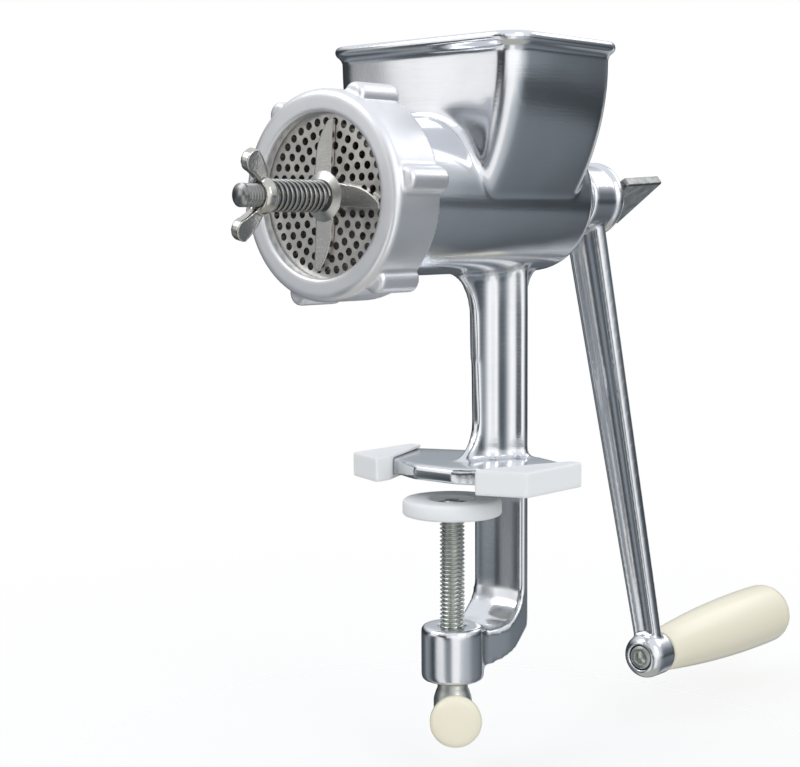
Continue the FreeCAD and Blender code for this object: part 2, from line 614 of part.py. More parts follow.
# ---- crank ----
def arm_section(centre, along, width, thick):
    """Rounded bar section across the arm, with a hollow along each broad face."""
    across_y = (BACK - along * BACK.dot(along)).normalize()
    across_x = across_y.cross(along)
    half_w = width / 2
    half_t = thick / 2
    corner = width * ARM_ROUND
    turn = corner * (1 - math.sqrt(0.5))
    rim = half_w - corner - width * ARM_BEAD
    floor = half_t - width * ARM_GROOVE

    def at(u, v):
        return centre + across_x * u + across_y * v

    edges = []
    for way in (1, -1):
        edges += [
            line_edge(at(way * half_w, way * (corner - half_t)), at(way * half_w, way * (half_t - corner))),
            arc_edge(at(way * half_w, way * (half_t - corner)),
                     at(way * (half_w - turn), way * (half_t - turn)),
                     at(way * (half_w - corner), way * half_t)),
            line_edge(at(way * (half_w - corner), way * half_t), at(way * rim, way * half_t)),
            arc_edge(at(way * rim, way * half_t), at(0, way * floor), at(-way * rim, way * half_t)),
            line_edge(at(-way * rim, way * half_t), at(-way * (half_w - corner), way * half_t)),
            arc_edge(at(-way * (half_w - corner), way * half_t),
                     at(-way * (half_w - turn), way * (half_t - turn)),
                     at(-way * half_w, way * (half_t - corner))),
        ]
    return Part.Wire(edges)


def crank_arm():
    top = V(0, ARM_HUB_Y, BARREL_Z)
    bottom = V(ARM_X, ARM_FOOT_Y, GRIP_Z)
    along = (bottom - top).normalize()
    length = (bottom - top).Length
    bar = Part.makeLoft([arm_section(top + along * 6, along, ARM_WIDTH, ARM_THICK),
                         arm_section(top + along * (length - 6), along, ARM_WIDTH_END, ARM_THICK_END)],
                        True, True)
    hub = turned_y([
        (0, HUB_FRONT_Y), (HUB_R - 1, HUB_FRONT_Y), (HUB_R, HUB_FRONT_Y + 1),
        (HUB_R, HUB_RIM_Y - HUB_RIM_WIDTH), (HUB_RIM_R, HUB_RIM_Y - HUB_RIM_WIDTH + 0.5),
        (HUB_RIM_R, HUB_RIM_Y - 0.5), (HUB_RIM_R - 0.5, HUB_RIM_Y), (HUB_R - 0.6, HUB_RIM_Y + 0.4),
        (HUB_DOME_R + 1.6, HUB_DOME_Y - 2.2), (HUB_DOME_R, HUB_DOME_Y), (0, HUB_DOME_Y)])
    boss_end = ARM_BOSS_Y + ARM_BOSS_LENGTH
    boss = rod_y(ARM_BOSS_R, ARM_BOSS_Y, boss_end, ARM_X, GRIP_Z)
    boss = rounded(boss, ARM_BOSS_EDGE, lambda m, e: abs(m.y - ARM_BOSS_Y) < 0.01)
    arm = fuse(bar, hub, boss)
    half = SQUARE / 2 + RUN_FIT
    square_hole = block(-half, half, HUB_FRONT_Y - 1, HUB_RIM_Y, BARREL_Z - half, BARREL_Z + half)
    screw_hole = rod_y(SCREW_HOLE_R, HUB_FRONT_Y, HUB_DOME_Y + 1)
    head_pocket = rod_y(GRIP_HEAD_R + LOOSE_FIT, ARM_BOSS_Y - 1, ARM_BOSS_Y + GRIP_HEAD_DEPTH, ARM_X, GRIP_Z)
    bolt_hole = rod_y(GRIP_BOLT_R, ARM_BOSS_Y, boss_end + 1, ARM_X, GRIP_Z)
    return arm.cut(square_hole).cut(screw_hole).cut(head_pocket).cut(bolt_hole)


def hub_washer():
    washer = rod_y(9.0, HUB_DOME_Y, HUB_WASHER_END_Y)
    return washer.cut(rod_y(SCREW_HOLE_R, HUB_DOME_Y - 1, HUB_WASHER_END_Y + 1))


def thumb_screw():
    """Screw with a flat fanned head that holds the crank on the shaft."""
    y0 = HUB_WASHER_END_Y
    y1 = y0 + THUMB_LENGTH
    start = THUMB_HALF_START
    end = THUMB_HALF_END
    head = polygon_face([V(-start, y0 + 1.2, 0), V(start, y0 + 1.2, 0), V(end, y1, 0), V(-end, y1, 0)])
    head = head.extrude(V(0, 0, THUMB_THICK))
    head.translate(V(0, 0, -THUMB_THICK / 2))
    head = head.makeFillet(0.7, [e for e in head.Edges if e.Length > THUMB_THICK + 1])
    head.rotate(V(0, 0, 0), BACK, -THUMB_ANGLE)
    head.translate(V(0, 0, BARREL_Z))
    collar = turned_y([(0, y0), (7.2, y0), (7.2, y0 + 2.6), (5.0, y0 + 5.4), (0, y0 + 5.4)])
    shank = rod_y(THUMB_SHANK_R, HUB_RIM_Y - 20, y0 + 1)
    return fuse(head, collar, shank)


def grip_washer():
    y0 = ARM_BOSS_Y + ARM_BOSS_LENGTH
    washer = rod_y(7.5, y0, y0 + WASHER_THICK, ARM_X, GRIP_Z)
    return washer.cut(rod_y(GRIP_BOLT_R, y0 - 1, y0 + WASHER_THICK + 1, ARM_X, GRIP_Z))


def grip():
    """Tapered round handle with a domed end, free to turn on its bolt."""
    y0 = GRIP_START_Y
    y1 = GRIP_END_Y
    x = ARM_X
    edges = [
        line_edge(V(x, y0, GRIP_Z), V(x + GRIP_R_START - 1, y0, GRIP_Z)),
        line_edge(V(x + GRIP_R_START - 1, y0, GRIP_Z), V(x + GRIP_R_START, y0 + 1.5, GRIP_Z)),
        arc_edge(V(x + GRIP_R_START, y0 + 1.5, GRIP_Z), V(x + GRIP_R - 1.0, (y0 + y1) / 2, GRIP_Z),
                 V(x + GRIP_R, y1 - 14, GRIP_Z)),
        arc_edge(V(x + GRIP_R, y1 - 14, GRIP_Z), V(x + GRIP_R - 2.0, y1 - 4.4, GRIP_Z),
                 V(x + GRIP_END_R, y1, GRIP_Z)),
        line_edge(V(x + GRIP_END_R, y1, GRIP_Z), V(x, y1, GRIP_Z)),
        line_edge(V(x, y1, GRIP_Z), V(x, y0, GRIP_Z)),
    ]
    body = Part.Face(Part.Wire(edges)).revolve(V(x, 0, GRIP_Z), BACK, 360)
    bolt_hole = rod_y(GRIP_BOLT_R + 2 * RUN_FIT, y0 - 1, y1 + 1, x, GRIP_Z)
    pocket = rod_y(NUT_POCKET_R, y1 - NUT_POCKET, y1 + 1, x, GRIP_Z)
    return body.cut(bolt_hole).cut(pocket)


def hexagon(across, y0, y1):
    radius = across / math.sqrt(3)
    points = []
    for i in range(6):
        a = math.radians(60 * i)
        points.append(V(ARM_X + radius * math.cos(a), y0, GRIP_Z + radius * math.sin(a)))
    return polygon_face(points).extrude(V(0, y1 - y0, 0))


def grip_bolt():
    """Socket-head bolt let into the arm, on which the grip turns."""
    head_y = ARM_BOSS_Y + 0.6
    seat_y = ARM_BOSS_Y + GRIP_HEAD_DEPTH
    end_y = GRIP_END_Y - 1.5
    head = rod_y(GRIP_HEAD_R, head_y, seat_y, ARM_X, GRIP_Z)
    shank = rod_y(GRIP_BOLT_R, seat_y - 1, end_y, ARM_X, GRIP_Z)
    return fuse(head, shank).cut(hexagon(5.0, head_y - 1, head_y + 2.6))


def grip_nut():
    y0 = GRIP_END_Y - NUT_POCKET + 3 * FLAT_GAP
    nut = hexagon(NUT_ACROSS, y0, y0 + NUT_THICK)
    nut = nut.common(turned_y([(0, y0), (5.9, y0), (5.9, y0 + NUT_THICK - 0.8), (5.1, y0 + NUT_THICK),
                               (0, y0 + NUT_THICK)], ARM_X, GRIP_Z))
    return nut.cut(rod_y(GRIP_BOLT_R, y0 - 1, y0 + NUT_THICK + 1, ARM_X, GRIP_Z))


# ---- clamp ----
def clamp_screw():
    """Clamp screw with a turned-down tip, a shank and an eye for the handle bar."""
    shoulder = BOSS_BOTTOM - 0.5
    tip_top = PAD_TOP - PAD_RECESS + 2.2
    eye_top = HANDLE_Z + 9.0
    eye_low = HANDLE_Z - 7.4
    screw = turned_z([
        (0, tip_top), (CLAMP_TIP_R - 0.5, tip_top), (CLAMP_TIP_R, tip_top - 0.5),
        (CLAMP_TIP_R, PAD_BOTTOM - FLAT_GAP), (CLAMP_SCREW_R, PAD_BOTTOM - FLAT_GAP),
        (CLAMP_SCREW_R, shoulder), (CLAMP_SHANK_R, shoulder), (CLAMP_SHANK_R, eye_top),
        (EYE_R - 0.5, eye_top - 2.2), (EYE_R, eye_top - 4.4), (EYE_R, eye_low + 3.5),
        (EYE_R - 2.5, eye_low), (0, eye_low)])
    return screw.cut(handle_rod(HANDLE_BAR_R + SEAT_FIT, -20, 20))


def handle_rod(radius, start, end):
    """Rod along the handle's own direction, measured from the screw's axis."""
    a = math.radians(HANDLE_ANGLE)
    along = V(math.cos(a), math.sin(a), 0)
    return Part.makeCylinder(radius, end - start, V(0, 0, HANDLE_Z) + along * start, along)


def handle_bar():
    """Bar through the screw's eye, with an upset head on the end that has no knob."""
    inner = EYE_R + LOOSE_FIT
    head = handle_rod(HANDLE_HEAD_R, -inner - HANDLE_HEAD, -inner)
    bar = handle_rod(HANDLE_BAR_R, -inner - 1, KNOB_START + KNOB_LENGTH - KNOB_CAP)
    return fuse(bar, head)


def handle_knob():
    """Domed plastic knob pressed on one end of the handle bar."""
    start = KNOB_START
    end = KNOB_START + KNOB_LENGTH
    widest = end - KNOB_EDGE
    edges = [
        line_edge(V(0, 0, start), V(KNOB_NECK_R, 0, start)),
        arc_edge(V(KNOB_NECK_R, 0, start), V(KNOB_R - 1.0, 0, (start + widest) / 2), V(KNOB_R, 0, widest)),
        arc_edge(V(KNOB_R, 0, widest), V(KNOB_R - 1.0, 0, end - 1.4), V(KNOB_R - 3.4, 0, end - 0.4)),
        line_edge(V(KNOB_R - 3.4, 0, end - 0.4), V(0, 0, end)),
        line_edge(V(0, 0, end), V(0, 0, start)),
    ]
    knob = Part.Face(Part.Wire(edges)).revolve(V(0, 0, 0), UP, 360)
    socket = Part.makeCylinder(HANDLE_BAR_R + SEAT_FIT, KNOB_LENGTH - KNOB_CAP + 1, V(0, 0, start - 1), UP)
    knob = knob.cut(socket)
    knob.rotate(V(0, 0, 0), BACK, 90)
    knob.rotate(V(0, 0, 0), UP, HANDLE_ANGLE)
    knob.translate(V(0, 0, HANDLE_Z))
    return knob


def clamp_pad():
    """Round plastic pad with a shallow dish in its top."""
    edge = 1.4
    floor = PAD_TOP - PAD_RECESS
    return turned_z([
        (CLAMP_TIP_R + RUN_FIT, PAD_BOTTOM), (PAD_R - edge, PAD_BOTTOM), (PAD_R, PAD_BOTTOM + edge),
        (PAD_R, PAD_TOP - edge), (PAD_R - edge, PAD_TOP), (PAD_RECESS_R + 1, PAD_TOP),
        (PAD_RECESS_R, PAD_TOP - 1), (PAD_RECESS_R, floor), (CLAMP_TIP_R + RUN_FIT, floor)])


def pad_retainer():
    """Push-on ring on the screw's tip that keeps the pad on."""
    z0 = PAD_TOP - PAD_RECESS + FLAT_GAP
    ring = rod_z(6.4, z0, z0 + 1.0)
    return ring.cut(rod_z(CLAMP_TIP_R, z0 - 1, z0 + 2))


def jaw_cover(side):
    """Moulded shoe round one end of the upper jaw."""
    outline = [(COVER_INNER_X, COVER_INNER_Y), (COVER_HALF_X, COVER_FRONT_Y), (COVER_HALF_X, COVER_REAR_Y),
               (COVER_HALF_X - COVER_REAR_WIDTH, COVER_REAR_Y), (COVER_INNER_X, COVER_STEP_Y)]
    top = JAW_BOTTOM + JAW_THICK + COVER_WALL - 0.1
    cover = plan_prism([(side * x, y) for x, y in outline], 0, top)

    def outer_upright(middle, edge):
        return abs(middle.x) > 30 and edge.Length > 8 and 0.1 < abs(middle.z - top) < top - 0.1

    cover = rounded(cover, 0.8, outer_upright)
    slot = plan_prism(jaw_outline(0.1), JAW_BOTTOM - 0.1, JAW_BOTTOM + JAW_THICK + 0.1)
    return cover.cut(slot)


def jaw_cover_left():
    return jaw_cover(-1)


def jaw_cover_right():
    return jaw_cover(1)


PIECES = (
    body_casting, plate_key, ring_nut, die_plate, rear_bush, thrust_washer, auger, front_stud, cutter,
    cutter_spring, wing_nut, crank_arm, hub_washer, thumb_screw, grip_washer, grip, grip_bolt, grip_nut,
    clamp_screw, handle_bar, handle_knob, clamp_pad, pad_retainer,
    jaw_cover_left, jaw_cover_right,
)

os.makedirs("parts", exist_ok=True)
for piece in PIECES:
    shape = piece()
    shape.exportStep("parts/" + piece.__name__ + ".step")
    print(piece.__name__, len(shape.Solids), round(shape.Volume, 1), shape.isValid())
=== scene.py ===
import math

import bpy
from mathutils import Matrix, Vector


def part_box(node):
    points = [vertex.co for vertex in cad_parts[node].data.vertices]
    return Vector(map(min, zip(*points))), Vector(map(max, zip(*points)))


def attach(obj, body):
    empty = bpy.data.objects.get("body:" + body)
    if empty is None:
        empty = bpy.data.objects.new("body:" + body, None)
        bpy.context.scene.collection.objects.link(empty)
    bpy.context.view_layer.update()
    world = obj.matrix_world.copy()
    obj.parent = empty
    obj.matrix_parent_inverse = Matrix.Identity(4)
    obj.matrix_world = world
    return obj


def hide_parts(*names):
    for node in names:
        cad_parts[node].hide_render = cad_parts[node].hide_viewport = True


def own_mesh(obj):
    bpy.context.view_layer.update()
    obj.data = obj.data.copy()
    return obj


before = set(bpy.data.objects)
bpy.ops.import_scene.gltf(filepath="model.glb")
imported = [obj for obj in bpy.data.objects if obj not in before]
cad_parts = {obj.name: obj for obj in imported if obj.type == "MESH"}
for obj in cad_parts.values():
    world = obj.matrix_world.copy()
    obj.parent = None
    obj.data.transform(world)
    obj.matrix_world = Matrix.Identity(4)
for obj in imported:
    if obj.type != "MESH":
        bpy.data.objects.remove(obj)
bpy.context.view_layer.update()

bl_info = {
    "name": "Food mill",
    "version": (1, 0, 0),
    "blender": (4, 5, 0),
    "location": "3D View > Sidebar > Food mill",
    "description": "Builds the visible pieces of a hand-cranked food mill on its CAD frame",
    "category": "Object",
}

MM = 0.001
FULL_TURN = 2 * math.pi

# a thread's section, as shares of half its pitch, and the turns over which it runs out
CREST_SHARE = 0.12
FLANK_SHARE = 0.72
RUN_OUT_TURNS = 1.2


# ---- where things are, read from the frame ----
def low(node):
    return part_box(node)[0]


def high(node):
    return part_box(node)[1]


def middle(node):
    return (low(node) + high(node)) / 2


def breadth(node, axis="x"):
    """Size of a CAD node along an axis, in mm."""
    return getattr(high(node) - low(node), axis) / MM


BARREL_Z = middle("front_stud").z
GRIP_AXIS = Vector((middle("grip_bolt").x, 0, middle("grip_bolt").z))


# ---- sizes and colours that a user may change ----
def length(name, description, millimetres):
    return bpy.props.FloatProperty(name=name, description=description, default=millimetres * MM,
                                   min=0.0, precision=5, unit="LENGTH")


def count(name, description, number):
    return bpy.props.IntProperty(name=name, description=description, default=number, min=1)


def colour(name, description, rgb):
    return bpy.props.FloatVectorProperty(name=name, description=description, default=rgb, size=3,
                                         min=0.0, max=1.0, subtype="COLOR")


class MILL_PG_sizes(bpy.types.PropertyGroup):
    casting_grid: length("Casting grid", "Mesh size of the body casting", 1.04)
    casting_passes: count("Casting smoothing", "Smoothing passes that round the casting's edges", 5)
    junction_passes: count("Junction smoothing", "Further passes where the hopper meets the barrel", 26)
    small_grid: length("Small casting grid", "Mesh size of the ring nut and the crank", 0.62)
    fine_grid: length("Fine grid", "Mesh size of the wing nut and the thumb screw", 0.36)
    stud_pitch: length("Stud pitch", "Thread pitch of the front stud", 1.25)
    screw_pitch: length("Clamp screw pitch", "Thread pitch of the clamp screw", 1.5875)
    thread_depth: bpy.props.FloatProperty(name="Thread depth",
                                          description="Depth of a thread as a share of its pitch",
                                          default=0.56, min=0.1, max=0.7, subtype="FACTOR")
    spring_wire: length("Spring wire", "Radius of the spring's wire", 0.6)
    spring_turns: count("Spring turns", "Number of turns of the cutter spring", 11)
    shoe_grid: length("Shoe grid", "Mesh size of the jaw shoes", 0.55)
    cutter_grid: length("Cutter grid", "Mesh size of the cutter", 0.2)
    column_passes: count("Column smoothing", "Further passes that round the column's edges", 3)


class MILL_PG_colours(bpy.types.PropertyGroup):
    casting: colour("Casting", "Polished cast aluminium", (0.83, 0.845, 0.87))
    ring: colour("Ring nut", "Satin cast aluminium", (0.9, 0.91, 0.93))
    plate: colour("Die plate", "Satin stainless steel", (0.6, 0.585, 0.55))
    cutter: colour("Cutter", "Ground stainless steel", (0.66, 0.65, 0.62))
    nickel: colour("Wing nut", "Nickel plated steel", (0.7, 0.68, 0.63))
    thumb: colour("Thumb screw", "Dark zinc plated steel", (0.3, 0.305, 0.3))
    thread: colour("Stud and spring", "Machined steel", (0.37, 0.37, 0.365))
    zinc: colour("Clamp screw", "Zinc plated steel", (0.62, 0.645, 0.61))
    nylon: colour("Shoes and pad", "White nylon", (0.97, 0.975, 0.955))
    cream: colour("Grip and knob", "Cream plastic", (0.9, 0.85, 0.64))
    bearing: colour("Bearing", "Bearing plastic", (0.72, 0.72, 0.66))


# ---- small helpers for the mesh operators ----
def deselect():
    """Leave any mesh that is being edited, and select nothing."""
    if bpy.context.mode != "OBJECT":
        bpy.ops.object.mode_set(mode="OBJECT")
    bpy.ops.object.select_all(action="DESELECT")


def only(obj):
    """Make obj the active object and the only one selected."""
    deselect()
    bpy.context.view_layer.objects.active = obj
    obj.select_set(True)
    return obj


def apply_modifier(obj, kind, **settings):
    only(obj)
    modifier = obj.modifiers.new(kind.lower(), kind)
    for key, value in settings.items():
        setattr(modifier, key, value)
    bpy.ops.object.modifier_apply(modifier=modifier.name)
    return obj


def settle(obj):
    """Move the object's place, turn and scale into its mesh."""
    only(obj)
    bpy.ops.object.transform_apply(location=True, rotation=True, scale=True)
    return obj


def closed(obj, weld=1e-6):
    """Weld the mesh's doubled points and turn its faces outwards."""
    only(obj)
    bpy.ops.object.mode_set(mode="EDIT")
    bpy.ops.mesh.select_all(action="SELECT")
    bpy.ops.mesh.remove_doubles(threshold=weld)
    bpy.ops.mesh.normals_make_consistent(inside=False)
    bpy.ops.object.mode_set(mode="OBJECT")
    return obj


def round_edges(obj, width, segments=2, angle=35):
    return apply_modifier(obj, "BEVEL", width=width, segments=segments, limit_method="ANGLE",
                          angle_limit=math.radians(angle), harden_normals=False)


def turned(name, steps, ring=False, sides=64):
    """Turn a profile of (radius, height) steps, in mm, about Z: a disc is extruded and resized at each step.

    With ring=True the profile comes back to its first step, and the piece has a hole through it."""
    deselect()
    radius, height = steps[0]
    bpy.ops.mesh.primitive_circle_add(vertices=sides, radius=radius * MM, location=(0, 0, height * MM),
                                      fill_type="NOTHING" if ring else "NGON")
    obj = settle(bpy.context.object)
    obj.name = name
    bpy.ops.object.mode_set(mode="EDIT")
    bpy.ops.mesh.select_all(action="SELECT")
    path = list(steps[1:]) + ([steps[0]] if ring else [])
    for next_radius, next_height in path:
        rise = (0, 0, (next_height - height) * MM)
        if ring:
            bpy.ops.mesh.extrude_edges_move(TRANSFORM_OT_translate={"value": rise})
        else:
            bpy.ops.mesh.extrude_region_move(TRANSFORM_OT_translate={"value": rise})
        share = next_radius / radius
        bpy.ops.transform.resize(value=(share, share, 1), center_override=(0, 0, next_height * MM))
        radius, height = next_radius, next_height
    bpy.ops.object.mode_set(mode="OBJECT")
    return closed(obj)


def stand(obj, place, direction):
    """Turn the piece's Z axis to a direction and move it to its place."""
    turn = Vector(direction).to_track_quat("Z", "Y").to_matrix().to_4x4()
    obj.matrix_world = Matrix.Translation(place) @ turn
    bpy.context.view_layer.update()
    return settle(obj)


def arc_steps(start, end, bulge, parts):
    """Steps from start to end along an arc that stands bulge mm out of the straight line."""
    (r0, h0), (r1, h1) = start, end
    run = math.hypot(r1 - r0, h1 - h0)
    out = ((h1 - h0) / run, -(r1 - r0) / run)
    steps = []
    for i in range(parts + 1):
        t = i / parts
        lift = 4 * bulge * t * (1 - t)
        steps.append((r0 + (r1 - r0) * t + out[0] * lift, h0 + (h1 - h0) * t + out[1] * lift))
    return steps


def threaded(name, before, start, end, radius, pitch, depth, after, sides=40, rows_per_turn=8):
    """A rod whose middle carries a right-handed thread, with plain steps before and after it.

    before and after are (radius, height) steps in mm. A grid is wrapped round the axis row by row."""
    rows = list(before)
    turns = (end - start) / pitch
    total = int(turns * rows_per_turn)
    thread_rows = [(radius, start + (end - start) * i / total) for i in range(total + 1)]
    first = len(rows)
    rows += thread_rows
    last = len(rows) - 1
    rows += list(after)
    deselect()
    bpy.ops.mesh.primitive_grid_add(x_subdivisions=sides, y_subdivisions=len(rows) - 1, size=1)
    obj = bpy.context.object
    obj.name = name
    for vertex in obj.data.vertices:
        column = round((vertex.co.x + 0.5) * sides)
        row = round((vertex.co.y + 0.5) * (len(rows) - 1))
        r, h = rows[row]
        angle = FULL_TURN * column / sides
        if first <= row <= last:
            phase = (h / pitch - angle / FULL_TURN) % 1.0
            flank = min(1.0, max(0.0, (abs(phase - 0.5) * 2 - CREST_SHARE) / FLANK_SHARE))
            run_out = RUN_OUT_TURNS * pitch
            fade = min(1.0, (h - start) / run_out, (end - h) / run_out)
            r = r - depth * flank * max(0.0, fade)
        vertex.co = (r * MM * math.cos(angle), r * MM * math.sin(angle), h * MM)
    closed(obj, 1e-7)
    bpy.ops.object.mode_set(mode="EDIT")
    bpy.ops.mesh.select_all(action="DESELECT")
    bpy.ops.mesh.select_mode(type="EDGE")
    bpy.ops.mesh.select_non_manifold()
    bpy.ops.mesh.edge_face_add()
    bpy.ops.mesh.select_all(action="SELECT")
    bpy.ops.mesh.normals_make_consistent(inside=False)
    bpy.ops.mesh.select_mode(type="VERT")
    bpy.ops.object.mode_set(mode="OBJECT")
    return obj


def flat_washer(name, node_name, bore):
    """A washer in place of a CAD node whose axis runs along Y; bore is its hole's radius in mm."""
    start, end = low(node_name), high(node_name)
    outer = (end.x - start.x) / 2 / MM
    thick = (end.y - start.y) / MM
    edge = 0.25
    ring = turned(name, [(bore, 0), (outer - edge, 0), (outer, edge), (outer, thick - edge),
                         (outer - edge, thick), (bore, thick)], ring=True, sides=48)
    centre = middle(node_name)
    return stand(ring, (centre.x, start.y, centre.z), (0, 1, 0))


def cad_copy(node, name):
    """A welded copy of a CAD node's mesh, as a piece of its own."""
    obj = bpy.data.objects.new(name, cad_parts[node].data.copy())
    bpy.context.scene.collection.objects.link(obj)
    only(obj)
    if obj.data.has_custom_normals:
        bpy.ops.mesh.customdata_custom_splitnormals_clear()
    bpy.ops.object.mode_set(mode="EDIT")
    bpy.ops.mesh.select_all(action="SELECT")
    bpy.ops.mesh.remove_doubles(threshold=1e-6)
    bpy.ops.object.mode_set(mode="OBJECT")
    return obj


def cast(obj, grid, passes, factor=0.5):
    """Give a piece the soft edges of a casting: an even grid, then a few smoothing passes."""
    apply_modifier(obj, "REMESH", mode="VOXEL", voxel_size=grid, adaptivity=0.0)
    return apply_modifier(obj, "SMOOTH", factor=factor, iterations=passes)


def soften_where(obj, weight_of, passes, factor=0.5):
    """Smooth the part of a mesh where weight_of(point) is above nought."""
    group = obj.vertex_groups.new(name="soft")
    for vertex in obj.data.vertices:
        weight = weight_of(vertex.co)
        if weight > 0:
            group.add([vertex.index], weight, "REPLACE")
    apply_modifier(obj, "SMOOTH", factor=factor, iterations=passes, vertex_group="soft")
    obj.vertex_groups.clear()
    return obj


def cut_with(obj, cutter):
    """Cut one piece with another, which is used up."""
    apply_modifier(obj, "BOOLEAN", operation="DIFFERENCE", solver="EXACT", object=cutter)
    bpy.data.objects.remove(cutter)
    return obj


def finish_piece(obj, body, slot, material, *nodes, angle=40):
    """Shade a piece, give it its finish, and let it ride in place of its CAD nodes."""
    settle(obj)
    if angle >= 180:
        bpy.ops.object.shade_smooth()
    else:
        bpy.ops.object.shade_smooth_by_angle(angle=math.radians(angle))
    obj.data.materials.clear()
    obj.data.materials.append(material)
    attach(obj, body)
    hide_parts(*nodes)
    return obj


# ---- finishes ----
def socket(group, name, way, kind, default=None):
    made = group.interface.new_socket(name=name, in_out=way, socket_type=kind)
    if default is not None:
        made.default_value = default
    return made


def node(tree, kind, links=None, **values):
    """Add a shader node; values set its properties, or its inputs by name; links feed inputs."""
    made = tree.nodes.new(kind)
    for key, value in values.items():
        if hasattr(made, key):
            setattr(made, key, value)
        else:
            made.inputs[key.replace("_", " ")].default_value = value
    for key, source in (links or {}).items():
        tree.links.new(source, made.inputs[key])
    return made


def mottle_group():
    """Soft clouds and fine pits: the uneven skin of a tumbled casting or a moulding."""
    found = bpy.data.node_groups.get("mottled_skin")
    if found:
        return found
    group = bpy.data.node_groups.new("mottled_skin", "ShaderNodeTree")
    socket(group, "Cloud Scale", "INPUT", "NodeSocketFloat", 40.0)
    socket(group, "Pit Scale", "INPUT", "NodeSocketFloat", 900.0)
    socket(group, "Clouds", "OUTPUT", "NodeSocketFloat")
    socket(group, "Pits", "OUTPUT", "NodeSocketFloat")
    inside = node(group, "NodeGroupInput")
    place = node(group, "ShaderNodeTexCoord")
    clouds = node(group, "ShaderNodeTexNoise", {"Vector": place.outputs["Object"],
                                                "Scale": inside.outputs["Cloud Scale"]},
                  Detail=3.0, Roughness=0.55, Distortion=0.3)
    pits = node(group, "ShaderNodeTexNoise", {"Vector": place.outputs["Object"],
                                              "Scale": inside.outputs["Pit Scale"]},
                Detail=2.0, Roughness=0.6)
    soft = node(group, "ShaderNodeMapRange", {"Value": clouds.outputs["Fac"]},
                From_Min=0.32, From_Max=0.68)
    out = node(group, "NodeGroupOutput")
    group.links.new(soft.outputs["Result"], out.inputs["Clouds"])
    group.links.new(pits.outputs["Fac"], out.inputs["Pits"])
    return group


def brush_group():
    """Fine polishing lines that run across one axis of the piece."""
    found = bpy.data.node_groups.get("brushed_lines")
    if found:
        return found
    group = bpy.data.node_groups.new("brushed_lines", "ShaderNodeTree")
    socket(group, "Stretch", "INPUT", "NodeSocketVector", (1.0, 1.0, 40.0))
    socket(group, "Scale", "INPUT", "NodeSocketFloat", 60.0)
    socket(group, "Lines", "OUTPUT", "NodeSocketFloat")
    inside = node(group, "NodeGroupInput")
    place = node(group, "ShaderNodeTexCoord")
    stretched = node(group, "ShaderNodeVectorMath", {0: place.outputs["Object"],
                                                     1: inside.outputs["Stretch"]}, operation="MULTIPLY")
    lines = node(group, "ShaderNodeTexNoise", {"Vector": stretched.outputs["Vector"],
                                               "Scale": inside.outputs["Scale"]}, Detail=4.0, Roughness=0.65)
    out = node(group, "NodeGroupOutput")
    group.links.new(lines.outputs["Fac"], out.inputs["Lines"])
    return group


def edge_highlight_group():
    """Painted edge highlight: the raised parts of the surface, broken up by clouds."""
    found = bpy.data.node_groups.get("painted_edge_highlights")
    if found:
        return found
    group = bpy.data.node_groups.new("painted_edge_highlights", "ShaderNodeTree")
    socket(group, "Edge Start", "INPUT", "NodeSocketFloat", 0.51)
    socket(group, "Edge End", "INPUT", "NodeSocketFloat", 0.6)
    socket(group, "Edges", "OUTPUT", "NodeSocketFloat")
    inside = node(group, "NodeGroupInput")
    place = node(group, "ShaderNodeTexCoord")
    shape = node(group, "ShaderNodeNewGeometry")
    raised = node(group, "ShaderNodeMapRange", {"Value": shape.outputs["Pointiness"],
                                                "From Min": inside.outputs["Edge Start"],
                                                "From Max": inside.outputs["Edge End"]})
    patches = node(group, "ShaderNodeTexNoise", {"Vector": place.outputs["Object"]}, Scale=210.0, Detail=3.0)
    broken = node(group, "ShaderNodeMapRange", {"Value": patches.outputs["Fac"]}, From_Min=0.35, From_Max=0.6)
    both = node(group, "ShaderNodeMath", {0: raised.outputs["Result"], 1: broken.outputs["Result"]},
                operation="MULTIPLY")
    out = node(group, "NodeGroupOutput")
    group.links.new(both.outputs["Value"], out.inputs["Edges"])
    return group


